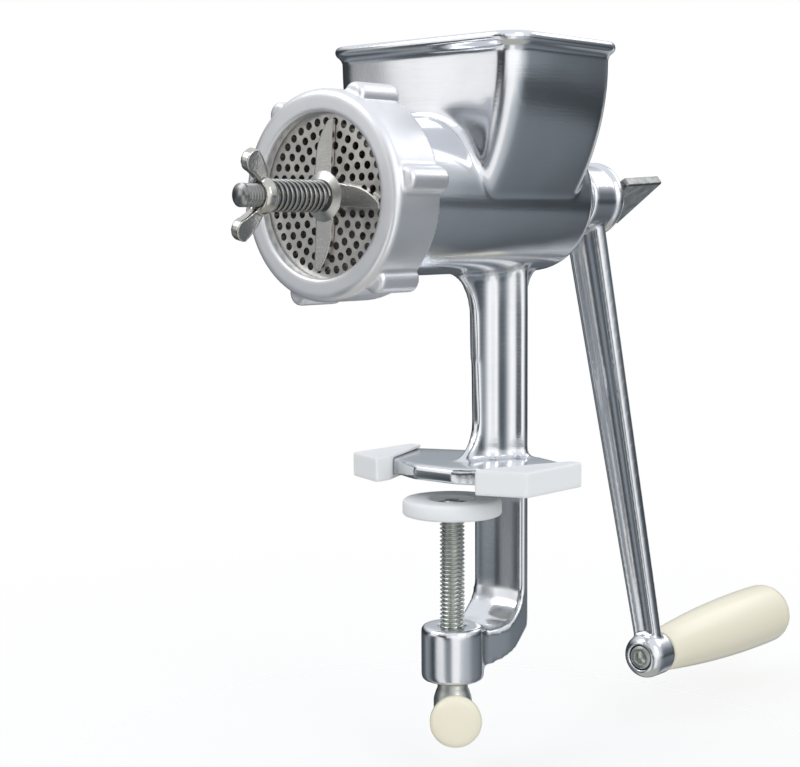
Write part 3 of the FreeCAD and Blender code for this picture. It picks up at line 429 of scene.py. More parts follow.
def crown_group():
    """Gentle crown and slow waves that buffing leaves on flat cast walls, as a surface height."""
    found = bpy.data.node_groups.get("buffed_crown")
    if found:
        return found
    group = bpy.data.node_groups.new("buffed_crown", "ShaderNodeTree")
    socket(group, "Centre", "INPUT", "NodeSocketVector", (0.0, 0.0, 0.0))
    socket(group, "Crown", "INPUT", "NodeSocketFloat", 0.0)
    socket(group, "Wave Scale", "INPUT", "NodeSocketFloat", 24.0)
    socket(group, "Wave Height", "INPUT", "NodeSocketFloat", 0.0004)
    socket(group, "Height", "OUTPUT", "NodeSocketFloat")
    inside = node(group, "NodeGroupInput")
    place = node(group, "ShaderNodeTexCoord")
    away = node(group, "ShaderNodeVectorMath", {0: place.outputs["Object"], 1: inside.outputs["Centre"]},
                operation="SUBTRACT")
    level = node(group, "ShaderNodeVectorMath", {0: away.outputs["Vector"]}, operation="MULTIPLY")
    level.inputs[1].default_value = (1.0, 1.0, 0.0)
    square = node(group, "ShaderNodeVectorMath", {0: level.outputs["Vector"], 1: level.outputs["Vector"]},
                  operation="DOT_PRODUCT")
    fall = node(group, "ShaderNodeMath", {0: square.outputs["Value"], 1: inside.outputs["Crown"]},
                operation="MULTIPLY")
    waves = node(group, "ShaderNodeTexNoise", {"Vector": place.outputs["Object"],
                                               "Scale": inside.outputs["Wave Scale"]},
                 Detail=1.0, Roughness=0.4)
    rise = node(group, "ShaderNodeMath", {0: waves.outputs["Fac"], 1: inside.outputs["Wave Height"]},
                operation="MULTIPLY")
    height = node(group, "ShaderNodeMath", {0: rise.outputs["Value"], 1: fall.outputs["Value"]},
                  operation="SUBTRACT")
    out = node(group, "NodeGroupOutput")
    group.links.new(height.outputs["Value"], out.inputs["Height"])
    return group


def finish_material(name, rgb, dark_share, metallic, roughness, cloud_scale=40.0, pit_scale=900.0,
                    pit_bump=0.05, brush=None, brush_scale=60.0, brush_bump=0.0, crown=0.0,
                    centre=(0.0, 0.0, 0.0), wave_height=0.0, edge_highlight_strength=0.5, subsurface=0.0, specular=0.5):
    """A metal or plastic finish, with a painted highlight on its raised edges.

    roughness is (smoothest, roughest); brush is the stretch of its polishing lines."""
    found = bpy.data.materials.get(name)
    if found:
        return found
    material = bpy.data.materials.new(name)
    material.use_nodes = True
    tree = material.node_tree
    tree.nodes.clear()
    skin = node(tree, "ShaderNodeGroup", node_tree=mottle_group(), Cloud_Scale=cloud_scale,
                Pit_Scale=pit_scale)
    mask = skin.outputs["Clouds"]
    height = skin.outputs["Pits"]
    if brush:
        lines = node(tree, "ShaderNodeGroup", node_tree=brush_group(), Stretch=brush, Scale=brush_scale)
        share = node(tree, "ShaderNodeMath", {0: lines.outputs["Lines"], 1: mask}, operation="ADD")
        half = node(tree, "ShaderNodeMath", {0: share.outputs["Value"]}, operation="MULTIPLY")
        half.inputs[1].default_value = 0.5
        mask = half.outputs["Value"]
        joined = node(tree, "ShaderNodeMath", {0: lines.outputs["Lines"], 2: height},
                      operation="MULTIPLY_ADD")
        joined.inputs[1].default_value = brush_bump / max(pit_bump, 0.001)
        height = joined.outputs["Value"]
    tone = node(tree, "ShaderNodeMix", {"Factor": mask}, data_type="RGBA")
    tone.inputs[6].default_value = tuple(c * dark_share for c in rgb) + (1.0,)
    tone.inputs[7].default_value = tuple(rgb) + (1.0,)
    rough = node(tree, "ShaderNodeMapRange", {"Value": mask}, To_Min=roughness[1], To_Max=roughness[0])
    # painted highlight: raised edges get a lighter colour and a smoother roughness
    edge_highlight_mask = node(tree, "ShaderNodeGroup", node_tree=edge_highlight_group())
    share = node(tree, "ShaderNodeMath", {0: edge_highlight_mask.outputs["Edges"]}, operation="MULTIPLY")
    share.inputs[1].default_value = edge_highlight_strength
    highlit_tone = node(tree, "ShaderNodeMix", {"Factor": share.outputs["Value"], 6: tone.outputs[2]},
                  data_type="RGBA")
    highlit_tone.inputs[7].default_value = tuple(min(1.0, c * 1.12 + 0.03) for c in rgb) + (1.0,)
    smoother = node(tree, "ShaderNodeMix", {"Factor": share.outputs["Value"], 2: rough.outputs["Result"]})
    smoother.inputs[3].default_value = roughness[0] * 0.8
    bump = node(tree, "ShaderNodeBump", {"Height": height}, Strength=pit_bump, Distance=0.0004)
    if crown or wave_height:
        crowned = node(tree, "ShaderNodeGroup", node_tree=crown_group(), Centre=centre, Crown=crown,
                       Wave_Height=wave_height)
        swell = node(tree, "ShaderNodeBump", {"Height": crowned.outputs["Height"]},
                     Strength=1.0, Distance=1.0)
        tree.links.new(swell.outputs["Normal"], bump.inputs["Normal"])
    shader = node(tree, "ShaderNodeBsdfPrincipled", {"Base Color": highlit_tone.outputs[2],
                                                     "Roughness": smoother.outputs[0],
                                                     "Normal": bump.outputs["Normal"]},
                  Metallic=metallic, Subsurface_Weight=subsurface, Subsurface_Scale=0.004,
                  Specular_IOR_Level=specular)
    out = node(tree, "ShaderNodeOutputMaterial")
    tree.links.new(shader.outputs["BSDF"], out.inputs["Surface"])
    return material


def colours():
    return bpy.context.scene.mill_colours


def sizes():
    return bpy.context.scene.mill_sizes


def polished_casting():
    return finish_material("polished_casting", colours().casting, 0.88, 1.0, (0.1, 0.2), cloud_scale=34.0,
                           pit_scale=1300.0, pit_bump=0.035, brush=(0.6, 0.6, 9.0), brush_scale=150.0,
                           brush_bump=0.05, crown=1.15, centre=(0.0, 0.014, 0.0), wave_height=0.0009)


def polished_arm():
    return finish_material("polished_arm", colours().casting, 0.86, 1.0, (0.12, 0.24), cloud_scale=60.0,
                           pit_scale=1300.0, pit_bump=0.05, brush=(9.0, 9.0, 0.5), brush_scale=120.0,
                           brush_bump=0.06)


def satin_casting():
    return finish_material("satin_casting", colours().ring, 0.94, 0.82, (0.3, 0.44), cloud_scale=60.0,
                           pit_scale=1500.0, pit_bump=0.07)


def plate_finish():
    return finish_material("satin_plate", colours().plate, 0.8, 1.0, (0.28, 0.42), cloud_scale=90.0,
                           pit_scale=1400.0, pit_bump=0.06)


def ground_steel():
    return finish_material("ground_steel", colours().cutter, 0.84, 1.0, (0.2, 0.36), cloud_scale=80.0,
                           brush=(1.0, 1.0, 22.0), brush_scale=90.0, brush_bump=0.1, pit_bump=0.04)


def nickel_plate():
    return finish_material("nickel_plate", colours().nickel, 0.72, 1.0, (0.08, 0.18), cloud_scale=150.0,
                           pit_scale=1100.0, pit_bump=0.08)


def thumb_steel():
    return finish_material("thumb_steel", colours().thumb, 0.7, 1.0, (0.2, 0.36), cloud_scale=220.0,
                           pit_scale=900.0, pit_bump=0.12)


def machined_steel():
    return finish_material("machined_steel", colours().thread, 0.75, 1.0, (0.22, 0.4), cloud_scale=160.0,
                           pit_scale=1600.0, pit_bump=0.05)


def zinc_plate():
    return finish_material("zinc_plate", colours().zinc, 0.8, 1.0, (0.22, 0.4), cloud_scale=120.0,
                           pit_scale=1500.0, pit_bump=0.05)


def white_nylon():
    return finish_material("white_nylon", colours().nylon, 0.94, 0.0, (0.36, 0.5), cloud_scale=70.0,
                           pit_scale=700.0, pit_bump=0.04, subsurface=0.35)


def cream_plastic():
    return finish_material("cream_plastic", colours().cream, 0.95, 0.0, (0.28, 0.4), cloud_scale=45.0,
                           pit_scale=600.0, pit_bump=0.03, subsurface=0.2)


def bearing_plastic():
    return finish_material("bearing_plastic", colours().bearing, 0.92, 0.0, (0.4, 0.55), pit_bump=0.05)


# ---- the pieces ----
# where the casting is softened further, in metres: a RISE or a DROP is measured from the barrel's axis, a name
# that ends in Z is a height in the frame, a BAND is the height over which the softening fades, and the rest are
# places along x and y
HOPPER_FRONT, HOPPER_BACK = -0.0185, 0.0465
HOPPER_INSIDE_X, HOPPER_INSIDE_FRONT, HOPPER_INSIDE_BACK = 0.0245, -0.0145, 0.042
HOPPER_ROOT_RISE, HOPPER_ROOT_BAND = 0.019, 0.022
BARREL_REAR, BARREL_FRONT = 0.052, -0.048
FADE_PER_METRE = 40
COLUMN_HEAD_DROP, COLUMN_HEAD_BAND = 0.031, 0.012
COLUMN_FOOT_Z, COLUMN_FOOT_BAND = 0.011, 0.008
COLUMN_END_FRONT, COLUMN_END_HALF_X = -0.012, 0.016
COLUMN_END_PASSES = 12
UPRIGHT_FOOT_Z, UPRIGHT_HEAD_DROP = 0.009, 0.029
UPRIGHT_FRONT, UPRIGHT_BACK, UPRIGHT_HALF_X = 0.0, 0.04, 0.015


class MILL_OT_casting(bpy.types.Operator):
    """Body casting with soft cast edges and a deep fillet between hopper and barrel"""
    bl_idname = "mill.casting"
    bl_label = "Body casting"

    def execute(self, context):
        obj = cad_copy("body_casting", "body")
        cast(obj, sizes().casting_grid, sizes().casting_passes)

        def junction(point):
            """Where the hopper's walls run into the barrel, outside only."""
            rise = point.z - BARREL_Z
            beyond = max(HOPPER_FRONT - point.y, point.y - HOPPER_BACK, 0) * FADE_PER_METRE
            band = 1 - abs(rise - HOPPER_ROOT_RISE) / HOPPER_ROOT_BAND
            inside = abs(point.x) < HOPPER_INSIDE_X and HOPPER_INSIDE_FRONT < point.y < HOPPER_INSIDE_BACK
            past_barrel = point.y > BARREL_REAR or point.y < BARREL_FRONT
            return 0 if inside or past_barrel else max(0.0, min(1.0, band - beyond))

        soften_where(obj, junction, sizes().junction_passes)

        def column_ends(point):
            """Head and foot of the column, which flow into the barrel and the jaw."""
            head = 1 - abs(point.z - (BARREL_Z - COLUMN_HEAD_DROP)) / COLUMN_HEAD_BAND
            foot = 1 - abs(point.z - COLUMN_FOOT_Z) / COLUMN_FOOT_BAND
            near = point.y > COLUMN_END_FRONT and abs(point.x) < COLUMN_END_HALF_X
            return max(0.0, min(1.0, max(head, foot))) if near else 0

        soften_where(obj, column_ends, COLUMN_END_PASSES)

        def column(point):
            """The upright between barrel and jaw."""
            between = UPRIGHT_FOOT_Z < point.z < BARREL_Z - UPRIGHT_HEAD_DROP
            near = abs(point.x) < UPRIGHT_HALF_X and UPRIGHT_FRONT < point.y < UPRIGHT_BACK
            return 1.0 if between and near else 0

        soften_where(obj, column, sizes().column_passes)
        finish_piece(obj, "mill_frame", "cast_aluminium", polished_casting(), "body_casting", angle=180)
        return {"FINISHED"}


class MILL_OT_jaw_shoes(bpy.types.Operator):
    """Two white shoes on the jaw's ends"""
    bl_idname = "mill.jaw_shoes"
    bl_label = "Jaw shoes"

    def execute(self, context):
        for side in ("left", "right"):
            obj = cad_copy("jaw_cover_" + side, "shoe_" + side)
            cast(obj, sizes().shoe_grid, passes=12)
            finish_piece(obj, "mill_frame", "white_nylon", white_nylon(), "jaw_cover_" + side, angle=180)
        return {"FINISHED"}


class MILL_OT_inside(bpy.types.Operator):
    """Feed screw, its bearing bush, its thrust washer and the plate's key"""
    bl_idname = "mill.inside"
    bl_label = "Inside"

    def execute(self, context):
        screw = cad_copy("auger", "feed_screw")
        finish_piece(screw, "crank", "cast_aluminium", polished_casting(), "auger", angle=35)
        for source, name, body, slot, material in (
                ("rear_bush", "bush", "mill_frame", "bearing_plastic", bearing_plastic()),
                ("thrust_washer", "thrust_ring", "mill_frame", "bearing_plastic", bearing_plastic()),
                ("plate_key", "key_pin", "mill_frame", "thread_steel", machined_steel())):
            obj = cad_copy(source, name)
            finish_piece(obj, body, slot, material, source)
        return {"FINISHED"}


class MILL_OT_outlet(bpy.types.Operator):
    """Six-lugged ring nut and the perforated die plate"""
    bl_idname = "mill.outlet"
    bl_label = "Ring nut and die plate"

    def execute(self, context):
        ring = cad_copy("ring_nut", "ring")
        cast(ring, sizes().small_grid, passes=3)
        finish_piece(ring, "ring", "ring_aluminium", satin_casting(), "ring_nut", angle=180)
        plate = cad_copy("die_plate", "plate")
        finish_piece(plate, "mill_frame", "plate_steel", plate_finish(), "die_plate", angle=35)
        return {"FINISHED"}


class MILL_OT_cutter(bpy.types.Operator):
    """Four-bladed cutter with softened edges"""
    bl_idname = "mill.cutter"
    bl_label = "Cutter"

    def execute(self, context):
        obj = cad_copy("cutter", "blades")
        cast(obj, sizes().cutter_grid, passes=4)
        finish_piece(obj, "crank", "cutter_steel", ground_steel(), "cutter", angle=180)
        return {"FINISHED"}


class MILL_OT_stud(bpy.types.Operator):
    """Threaded stud that carries cutter, spring and wing nut"""
    bl_idname = "mill.stud"
    bl_label = "Front stud"

    def execute(self, context):
        front = low("front_stud").y / MM
        back = high("front_stud").y / MM
        radius = breadth("front_stud") / 2
        thread_end = -60.0
        depth = sizes().stud_pitch / MM * sizes().thread_depth
        tip = [(radius - 1.3, front), (radius - 0.9, front + 0.3)]
        plain = [(radius, thread_end + 0.5), (radius, back)]
        obj = threaded("stud", tip, front + 0.9, thread_end, radius, sizes().stud_pitch / MM, depth, plain,
                       sides=40)
        turn = Matrix.Translation((0, 0, BARREL_Z)) @ Matrix.Rotation(math.radians(-90), 4, "X")
        obj.matrix_world = turn
        bpy.context.view_layer.update()
        finish_piece(obj, "crank", "thread_steel", machined_steel(), "front_stud", angle=50)
        return {"FINISHED"}


class MILL_OT_spring(bpy.types.Operator):
    """Open coil spring between the wing nut and the cutter"""
    bl_idname = "mill.spring"
    bl_label = "Cutter spring"

    def execute(self, context):
        wire = sizes().spring_wire
        front, back = low("cutter_spring").y, high("cutter_spring").y
        mean = (high("cutter_spring").x - low("cutter_spring").x) / 2 - wire
        turns = sizes().spring_turns
        travel = back - front - 2 * wire
        deselect()
        bpy.ops.mesh.primitive_circle_add(vertices=12, radius=wire, fill_type="NGON", location=(mean, 0, 0),
                                          rotation=(math.radians(90), 0, 0))
        obj = settle(bpy.context.object)
        obj.name = "spring_coil"
        apply_modifier(obj, "SCREW", axis="Z", angle=FULL_TURN, screw_offset=travel / turns, iterations=turns,
                       steps=28, render_steps=28, use_normal_calculate=True)
        obj.matrix_world = (Matrix.Translation((0, front + wire, BARREL_Z)) @
                            Matrix.Rotation(math.radians(-90), 4, "X"))
        bpy.context.view_layer.update()
        settle(obj)
        closed(obj, 1e-7)
        finish_piece(obj, "crank", "thread_steel", machined_steel(), "cutter_spring", angle=180)
        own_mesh(obj)
        return {"FINISHED"}


class MILL_OT_wing_nut(bpy.types.Operator):
    """Cast wing nut with rounded wings"""
    bl_idname = "mill.wing_nut"
    bl_label = "Wing nut"

    def execute(self, context):
        obj = cad_copy("wing_nut", "butterfly_nut")
        cast(obj, sizes().fine_grid, passes=7)
        finish_piece(obj, "wing", "nickel_steel", nickel_plate(), "wing_nut", angle=180)
        return {"FINISHED"}


# mesh size of the crank arm, as a share of the small casting grid
ARM_GRID_SHARE = 0.9


class MILL_OT_crank(bpy.types.Operator):
    """Fluted crank arm, the washer and the thumb screw that hold it"""
    bl_idname = "mill.crank"
    bl_label = "Crank"

    def execute(self, context):
        arm = cad_copy("crank_arm", "arm")
        cast(arm, sizes().small_grid * ARM_GRID_SHARE, passes=12)
        finish_piece(arm, "crank", "cast_aluminium", polished_arm(), "crank_arm", angle=180)
        screw = cad_copy("thumb_screw", "thumb_piece")
        cast(screw, sizes().fine_grid, passes=4)
        finish_piece(screw, "crank", "zinc_steel", thumb_steel(), "thumb_screw", angle=180)
        washer = flat_washer("hub_ring", "hub_washer", bore=4.3)
        finish_piece(washer, "crank", "zinc_steel", zinc_plate(), "hub_washer")
        return {"FINISHED"}


class MILL_OT_grip(bpy.types.Operator):
    """Cream grip, its socket-head bolt, its washer and its nut"""
    bl_idname = "mill.grip"
    bl_label = "Grip"

    def execute(self, context):
        start, end = low("grip").y / MM, high("grip").y / MM
        widest = breadth("grip") / 2
        run = end - start
        bore, pocket, pocket_depth = 3.1, 6.6, 9.0
        profile = [(bore, 0), (7.9, 0), (8.5, 0.35)]
        profile += arc_steps((8.9, 1.5), (widest, run - 14), 1.3, 10)
        profile += arc_steps((widest - 0.25, run - 10.6), (8.6, run - 0.1), 1.9, 8)[1:]
        profile += [(pocket + 0.4, run), (pocket, run - 0.4), (pocket, run - pocket_depth),
                    (bore, run - pocket_depth)]
        grip = turned("handle", profile, ring=True, sides=72)
        stand(grip, (GRIP_AXIS.x, start * MM, GRIP_AXIS.z), (0, 1, 0))
        finish_piece(grip, "handle_grip", "cream_plastic", cream_plastic(), "grip", angle=40)
        head_r, head_depth, rod_r, socket_r, socket_depth = 5.0, 4.0, 3.0, 2.9, 2.6
        bolt_run = breadth("grip_bolt", "y")
        bolt = turned("socket_bolt", [(head_r - 0.7, 0), (head_r - 0.2, 0.2), (head_r, 0.6),
                                      (head_r, head_depth), (rod_r, head_depth), (rod_r, bolt_run - 0.8),
                                      (rod_r - 0.7, bolt_run)], sides=48)
        deselect()
        bpy.ops.mesh.primitive_cylinder_add(vertices=6, radius=socket_r * MM, depth=2 * socket_depth * MM,
                                            location=(0, 0, 0))
        cut_with(bolt, bpy.context.object)
        stand(bolt, (GRIP_AXIS.x, low("grip_bolt").y, GRIP_AXIS.z), (0, 1, 0))
        round_edges(bolt, 0.00015)
        finish_piece(bolt, "crank", "zinc_steel", zinc_plate(), "grip_bolt")
        nut = cad_copy("grip_nut", "lock_nut")
        finish_piece(nut, "crank", "zinc_steel", zinc_plate(), "grip_nut")
        washer = flat_washer("grip_ring", "grip_washer", bore)
        finish_piece(washer, "crank", "zinc_steel", zinc_plate(), "grip_washer")
        return {"FINISHED"}


class MILL_OT_clamp(bpy.types.Operator):
    """Clamp screw, pad, retainer, handle bar and knob"""
    bl_idname = "mill.clamp"
    bl_label = "Clamp"

    def execute(self, context):
        tip = high("clamp_screw").z / MM
        foot = low("clamp_screw").z / MM
        eye = breadth("clamp_screw") / 2
        pad_low, pad_high = low("clamp_pad").z / MM, high("clamp_pad").z / MM
        pad_r = breadth("clamp_pad") / 2
        radius, shank, tip_r, shank_top = 4.75, 5.9, 3.2, -77.0
        depth = sizes().screw_pitch / MM * sizes().thread_depth
        below = [(0.8, foot), (eye - 3.4, foot + 0.25), (eye - 1.4, foot + 1.4), (eye - 0.3, foot + 3.2)]
        below += [(eye, foot + 5.2), (eye, foot + 11.8), (eye - 0.2, foot + 13.0), (eye - 0.9, foot + 15.2)]
        below += [(shank, foot + 16.6), (shank, shank_top), (shank - 0.5, shank_top + 0.5),
                  (radius, shank_top + 0.5)]
        above = [(radius - 0.5, pad_low - 0.15), (tip_r, pad_low - 0.1), (tip_r, tip - 0.5),
                 (tip_r - 0.5, tip)]
        screw = threaded("screw_rod", below, shank_top + 1.5, pad_low - 0.6, radius,
                         sizes().screw_pitch / MM, depth, above, sides=48)
        finish_piece(screw, "screw", "zinc_steel", zinc_plate(), "clamp_screw", angle=50)
        pad_bore, boss_r, dish_r, dish = 3.25, 8.0, 8.5, pad_high - 2.6
        under = [(pad_bore, pad_low), (boss_r, pad_low), (boss_r + 0.4, pad_low + 0.2),
                 (pad_r - 1.2, pad_low + 0.2)]
        rim = [(pad_r - 0.4, pad_low + 0.5), (pad_r, pad_low + 1.2), (pad_r, pad_high - 1.6),
               (pad_r - 0.3, pad_high - 0.7), (pad_r - 1.0, pad_high - 0.15), (pad_r - 1.8, pad_high)]
        hollow = [(dish_r + 1.1, pad_high), (dish_r + 0.4, pad_high - 0.2), (dish_r + 0.1, pad_high - 0.8),
                  (dish_r, dish + 0.4), (dish_r - 0.4, dish), (pad_bore, dish)]
        pad = turned("pad_disc", under + rim + hollow, ring=True, sides=96)
        finish_piece(pad, "pad", "white_nylon", white_nylon(), "clamp_pad", angle=40)
        ring_low, ring_high = low("pad_retainer").z / MM, high("pad_retainer").z / MM
        ring_r, ring_bore = breadth("pad_retainer") / 2, 3.22
        ring = turned("push_ring", [(ring_bore, ring_low), (ring_r - 0.2, ring_low), (ring_r, ring_low + 0.2),
                                    (ring_r, ring_low + 0.5), (ring_r - 0.6, ring_high - 0.1),
                                    (4.2, ring_high), (ring_bore, ring_high - 0.3)], ring=True, sides=48)
        finish_piece(ring, "screw", "zinc_steel", machined_steel(), "pad_retainer")
        centre = middle("handle_knob")
        direction = Vector((centre.x, centre.y, 0)).normalized()
        axis_z = centre.z
        knob_r = breadth("handle_knob", "z") / 2
        start, run = 7.6, 10.6
        widest = run - 3.4
        profile = arc_steps((6.8, 0), (knob_r, widest), 0.75, 6)
        profile += [(knob_r, widest + 0.9), (knob_r - 0.25, widest + 1.7), (knob_r - 0.9, widest + 2.5),
                    (knob_r - 1.9, widest + 3.0), (knob_r - 3.4, widest + 3.2), (3.0, widest + 3.4),
                    (0.6, widest + 3.4)]
        knob = turned("knob", profile, sides=72)
        stand(knob, Vector((0, 0, axis_z)) + direction * start * MM, direction)
        finish_piece(knob, "screw", "cream_plastic", cream_plastic(), "handle_knob", angle=50)
        bar_r, upset_r, upset_start, upset_end, bar_end = 3.0, 4.4, -10.4, -7.8, 9.0
        bar = turned("cross_bar", [(upset_r - 0.8, upset_start), (upset_r - 0.2, upset_start + 0.2),
                                   (upset_r, upset_start + 0.7), (upset_r, upset_end - 0.5),
                                   (upset_r - 0.4, upset_end), (bar_r, upset_end), (bar_r, bar_end)],
                     sides=40)
        stand(bar, Vector((0, 0, axis_z)), direction)
        finish_piece(bar, "screw", "zinc_steel", zinc_plate(), "handle_bar")
        return {"FINISHED"}


# ---- the stage ----
FLOOR_Z, FLOOR_R = -0.112, 0.62
SOFT_LIGHTS = (  # name, place, what it is aimed at, width, depth, watts
    ("key_light", (-0.75, -0.95, 1.15), (0, 0, 0.08), 0.9, 0.9, 5.4),
    ("fill_light", (1.25, -0.35, 0.75), (0, 0, 0.02), 0.5, 0.8, 2.8),
    ("back_light", (0.35, 1.2, 0.9), (0, 0, 0.08), 1.2, 0.5, 2.4),
)
CAMERA_PLACE = (0.39556, -0.47532, 0.09867)
CAMERA_TURN, CAMERA_DIP, CAMERA_ROLL = 41.52, 5.69, -0.34
CAMERA_SENSOR, CAMERA_LENS = 36.0, 73.62
CAMERA_SHIFT_X, CAMERA_SHIFT_Y = -0.00249, 0.00478

# tone of the surroundings against the way one looks, as a share of a full turn from -X
UPPER_FLATS = ((0.0, 0.06), (0.05, 0.05), (0.104, 0.05), (0.122, 1.0), (0.14, 1.2), (0.185, 1.05),
               (0.2, 0.04), (0.29, 0.03), (0.308, 0.95), (0.36, 1.3), (0.46, 1.25), (0.53, 0.85),
               (0.585, 0.55), (0.62, 0.32), (0.645, 0.2), (0.67, 0.12), (0.75, 0.2), (0.81, 0.08),
               (0.845, 0.42), (0.885, 0.42), (0.915, 0.04))
MIDDLE_FLATS = ((0.0, 0.05), (0.07, 0.06), (0.11, 0.5), (0.13, 0.12), (0.17, 0.12), (0.21, 1.0),
                (0.25, 1.1), (0.28, 0.08), (0.32, 0.1), (0.35, 1.1), (0.42, 1.25), (0.48, 0.8),
                (0.53, 0.4), (0.585, 0.13), (0.65, 0.07), (0.72, 0.05), (0.762, 0.75), (0.785, 0.65),
                (0.82, 0.1), (0.9, 0.04), (1.0, 0.05))
LOWER_FLATS = ((0.0, 0.1), (0.07, 0.35), (0.11, 0.2), (0.135, 0.07), (0.165, 0.08), (0.2, 0.9),
               (0.26, 1.0), (0.29, 0.35), (0.33, 0.3), (0.36, 1.1), (0.41, 1.15), (0.44, 0.7),
               (0.52, 0.5), (0.58, 0.28), (0.66, 0.2), (0.72, 0.1), (0.762, 0.6), (0.785, 0.5),
               (0.81, 0.15), (0.88, 0.1), (1.0, 0.1))
# where the surroundings change, as the height (Z) of the way one looks
GROUND_FADE, KNEE_FADE, WAIST_FADE, CEILING_FADE = (-0.84, -0.7), (-0.22, -0.13), (-0.06, 0.05), (0.16, 0.6)
GROUND_COLOUR, CEILING_COLOUR = (0.5, 0.49, 0.46, 1.0), (0.93, 0.95, 1.0, 1.0)
SURROUNDINGS_STRENGTH = 0.95
DARK_BLUENESS = 0.14


def tone_ramp(tree, place, stops):
    """A grey ramp, bluer where it is darker, through (position, tone) stops."""
    made = node(tree, "ShaderNodeValToRGB", {"Fac": place})
    ramp = made.color_ramp
    while len(ramp.elements) < len(stops):
        ramp.elements.new(0.5)
    for element, (position, tone) in zip(ramp.elements, stops):
        element.position = position
        blue = DARK_BLUENESS * max(0.0, 1 - tone)
        element.color = (tone * (1 - blue), tone, tone * (1 + blue), 1.0)
    return made.outputs["Color"]


def height_fade(tree, height, fade):
    """Nought below a pair of heights, one above them, and even in between."""
    made = node(tree, "ShaderNodeMapRange", {"Value": height}, From_Min=fade[0], From_Max=fade[1])
    return made.outputs["Result"]


def studio_world():
    """Studio surroundings: a pale ceiling, and light and dark flats that stand round the mill."""
    world = bpy.data.worlds.new("studio")
    bpy.context.scene.world = world
    world.use_nodes = True
    tree = world.node_tree
    tree.nodes.clear()
    place = node(tree, "ShaderNodeTexCoord")
    axes = node(tree, "ShaderNodeSeparateXYZ", {"Vector": place.outputs["Generated"]})
    around = node(tree, "ShaderNodeMath", {0: axes.outputs["Y"], 1: axes.outputs["X"]}, operation="ARCTAN2")
    turn = node(tree, "ShaderNodeMath", {0: around.outputs["Value"]}, operation="MULTIPLY_ADD")
    turn.inputs[1].default_value = 1 / FULL_TURN
    turn.inputs[2].default_value = 0.5
    upper = tone_ramp(tree, turn.outputs["Value"], UPPER_FLATS)
    middle_tones = tone_ramp(tree, turn.outputs["Value"], MIDDLE_FLATS)
    lower = tone_ramp(tree, turn.outputs["Value"], LOWER_FLATS)
    knee, waist, low_mix, high_mix = (height_fade(tree, axes.outputs["Z"], fade) for fade in
                                      (KNEE_FADE, WAIST_FADE, GROUND_FADE, CEILING_FADE))
    below = node(tree, "ShaderNodeMix", {"Factor": knee, 6: lower, 7: middle_tones}, data_type="RGBA")
    flats = node(tree, "ShaderNodeMix", {"Factor": waist, 6: below.outputs[2], 7: upper}, data_type="RGBA")
    ground = node(tree, "ShaderNodeMix", {"Factor": low_mix, 7: flats.outputs[2]}, data_type="RGBA")
    ground.inputs[6].default_value = GROUND_COLOUR
    sky = node(tree, "ShaderNodeMix", {"Factor": high_mix, 6: ground.outputs[2]}, data_type="RGBA")
    sky.inputs[7].default_value = CEILING_COLOUR
    light = node(tree, "ShaderNodeBackground", {"Color": sky.outputs[2]}, Strength=SURROUNDINGS_STRENGTH)
    white = node(tree, "ShaderNodeBackground", Strength=1.0)
    white.inputs["Color"].default_value = (1.0, 1.0, 1.0, 1.0)
    path = node(tree, "ShaderNodeLightPath")
    both = node(tree, "ShaderNodeMixShader", {0: path.outputs["Is Camera Ray"], 1: light.outputs[0],
                                              2: white.outputs[0]})
    out = node(tree, "ShaderNodeOutputWorld")
    tree.links.new(both.outputs[0], out.inputs["Surface"])


def floor_material():
    """Pale matt floor that fades out towards its edge."""
    material = finish_material("pale_floor", (0.94, 0.94, 0.935), 0.99, 0.0, (0.75, 0.85), cloud_scale=3.0,
                               pit_scale=120.0, pit_bump=0.02, specular=0.2)
    tree = material.node_tree
    place = node(tree, "ShaderNodeTexCoord")
    reach = node(tree, "ShaderNodeVectorMath", {0: place.outputs["Object"]}, operation="LENGTH")
    fade = node(tree, "ShaderNodeMapRange", {"Value": reach.outputs["Value"]}, From_Min=0.05, From_Max=0.5,
                To_Min=0.38, To_Max=0.0)
    shader = next(n for n in tree.nodes if n.type == "BSDF_PRINCIPLED")
    tree.links.new(fade.outputs["Result"], shader.inputs["Alpha"])
    return material


def soft_light(name, place, target, width, depth, watts):
    data = bpy.data.lights.new(name, "AREA")
    data.shape = "RECTANGLE"
    data.size = width
    data.size_y = depth
    data.energy = watts
    obj = bpy.data.objects.new(name, data)
    bpy.context.scene.collection.objects.link(obj)
    aim = (Vector(target) - Vector(place)).to_track_quat("-Z", "Y")
    obj.matrix_world = Matrix.Translation(place) @ aim.to_matrix().to_4x4()
    return obj


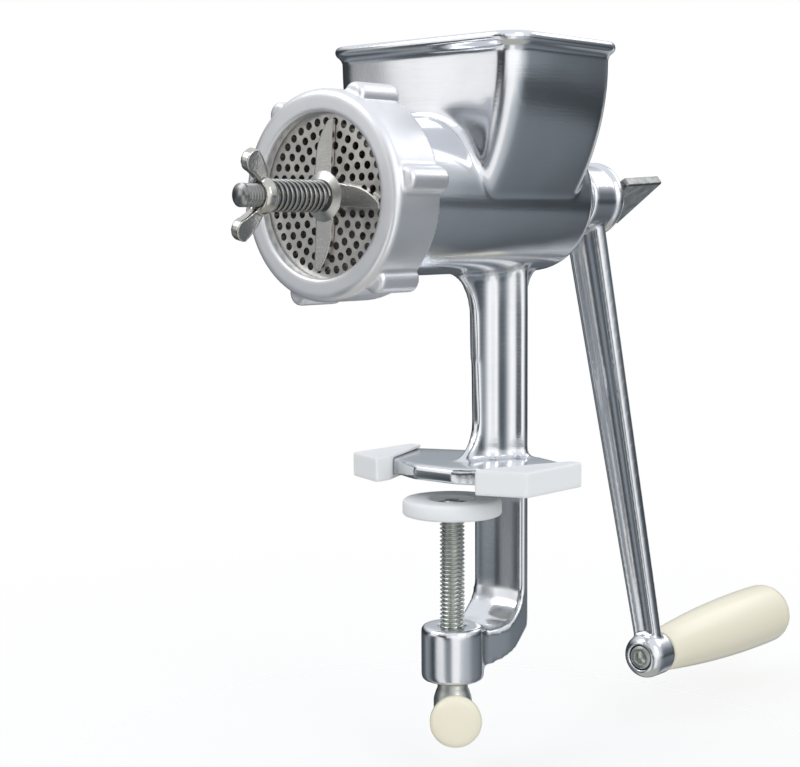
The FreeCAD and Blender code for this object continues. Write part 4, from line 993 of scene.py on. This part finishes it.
class MILL_OT_stage(bpy.types.Operator):
    """Pale floor, soft lights, studio surroundings and camera"""
    bl_idname = "mill.stage"
    bl_label = "Stage"

    def execute(self, context):
        studio_world()
        deselect()
        bpy.ops.mesh.primitive_circle_add(vertices=96, radius=FLOOR_R, fill_type="NGON",
                                          location=(0, 0, FLOOR_Z))
        floor = settle(bpy.context.object)
        floor.name = "floor"
        floor.data.materials.append(floor_material())
        floor.visible_glossy = False
        for light in SOFT_LIGHTS:
            soft_light(*light)
        scene = context.scene
        scene.view_settings.view_transform = "Standard"
        data = bpy.data.cameras.new("camera")
        camera = bpy.data.objects.new("camera", data)
        scene.collection.objects.link(camera)
        data.sensor_width = CAMERA_SENSOR
        data.lens = CAMERA_LENS
        data.shift_x = CAMERA_SHIFT_X
        data.shift_y = CAMERA_SHIFT_Y
        data.clip_start = 0.01
        turn, dip, roll = (math.radians(angle) for angle in (CAMERA_TURN, CAMERA_DIP, CAMERA_ROLL))
        ahead = Vector((-math.sin(turn) * math.cos(dip), math.cos(turn) * math.cos(dip), -math.sin(dip)))
        right = Vector((math.cos(turn), math.sin(turn), 0))
        up = right.cross(ahead)
        level_right = right * math.cos(roll) + up * math.sin(roll)
        level_up = up * math.cos(roll) - right * math.sin(roll)
        turned_to = Matrix((level_right, level_up, -ahead)).transposed().to_4x4()
        camera.matrix_world = Matrix.Translation(CAMERA_PLACE) @ turned_to
        scene.camera = camera
        return {"FINISHED"}


STEPS = (
    MILL_OT_casting, MILL_OT_jaw_shoes, MILL_OT_inside, MILL_OT_outlet, MILL_OT_cutter, MILL_OT_stud,
    MILL_OT_spring, MILL_OT_wing_nut, MILL_OT_crank, MILL_OT_grip, MILL_OT_clamp, MILL_OT_stage,
)


class MILL_PT_panel(bpy.types.Panel):
    """Lists the mill's pieces, sizes and colours"""
    bl_label = "Food mill"
    bl_idname = "MILL_PT_panel"
    bl_space_type = "VIEW_3D"
    bl_region_type = "UI"
    bl_category = "Food mill"

    def draw(self, context):
        layout = self.layout
        for step in STEPS:
            layout.operator(step.bl_idname)
        for group in (context.scene.mill_sizes, context.scene.mill_colours):
            box = layout.box()
            for key in group.__annotations__:
                box.prop(group, key)


CLASSES = (MILL_PG_sizes, MILL_PG_colours) + STEPS + (MILL_PT_panel,)


def register():
    for cls in CLASSES:
        bpy.utils.register_class(cls)
    bpy.types.Scene.mill_sizes = bpy.props.PointerProperty(type=MILL_PG_sizes)
    bpy.types.Scene.mill_colours = bpy.props.PointerProperty(type=MILL_PG_colours)


def unregister():
    del bpy.types.Scene.mill_sizes
    del bpy.types.Scene.mill_colours
    for cls in reversed(CLASSES):
        bpy.utils.unregister_class(cls)


def main():
    register()
    for step in STEPS:
        group, name = step.bl_idname.split(".")
        getattr(getattr(bpy.ops, group), name)()
    bpy.context.view_layer.update()


if __name__ == "__main__":
    main()
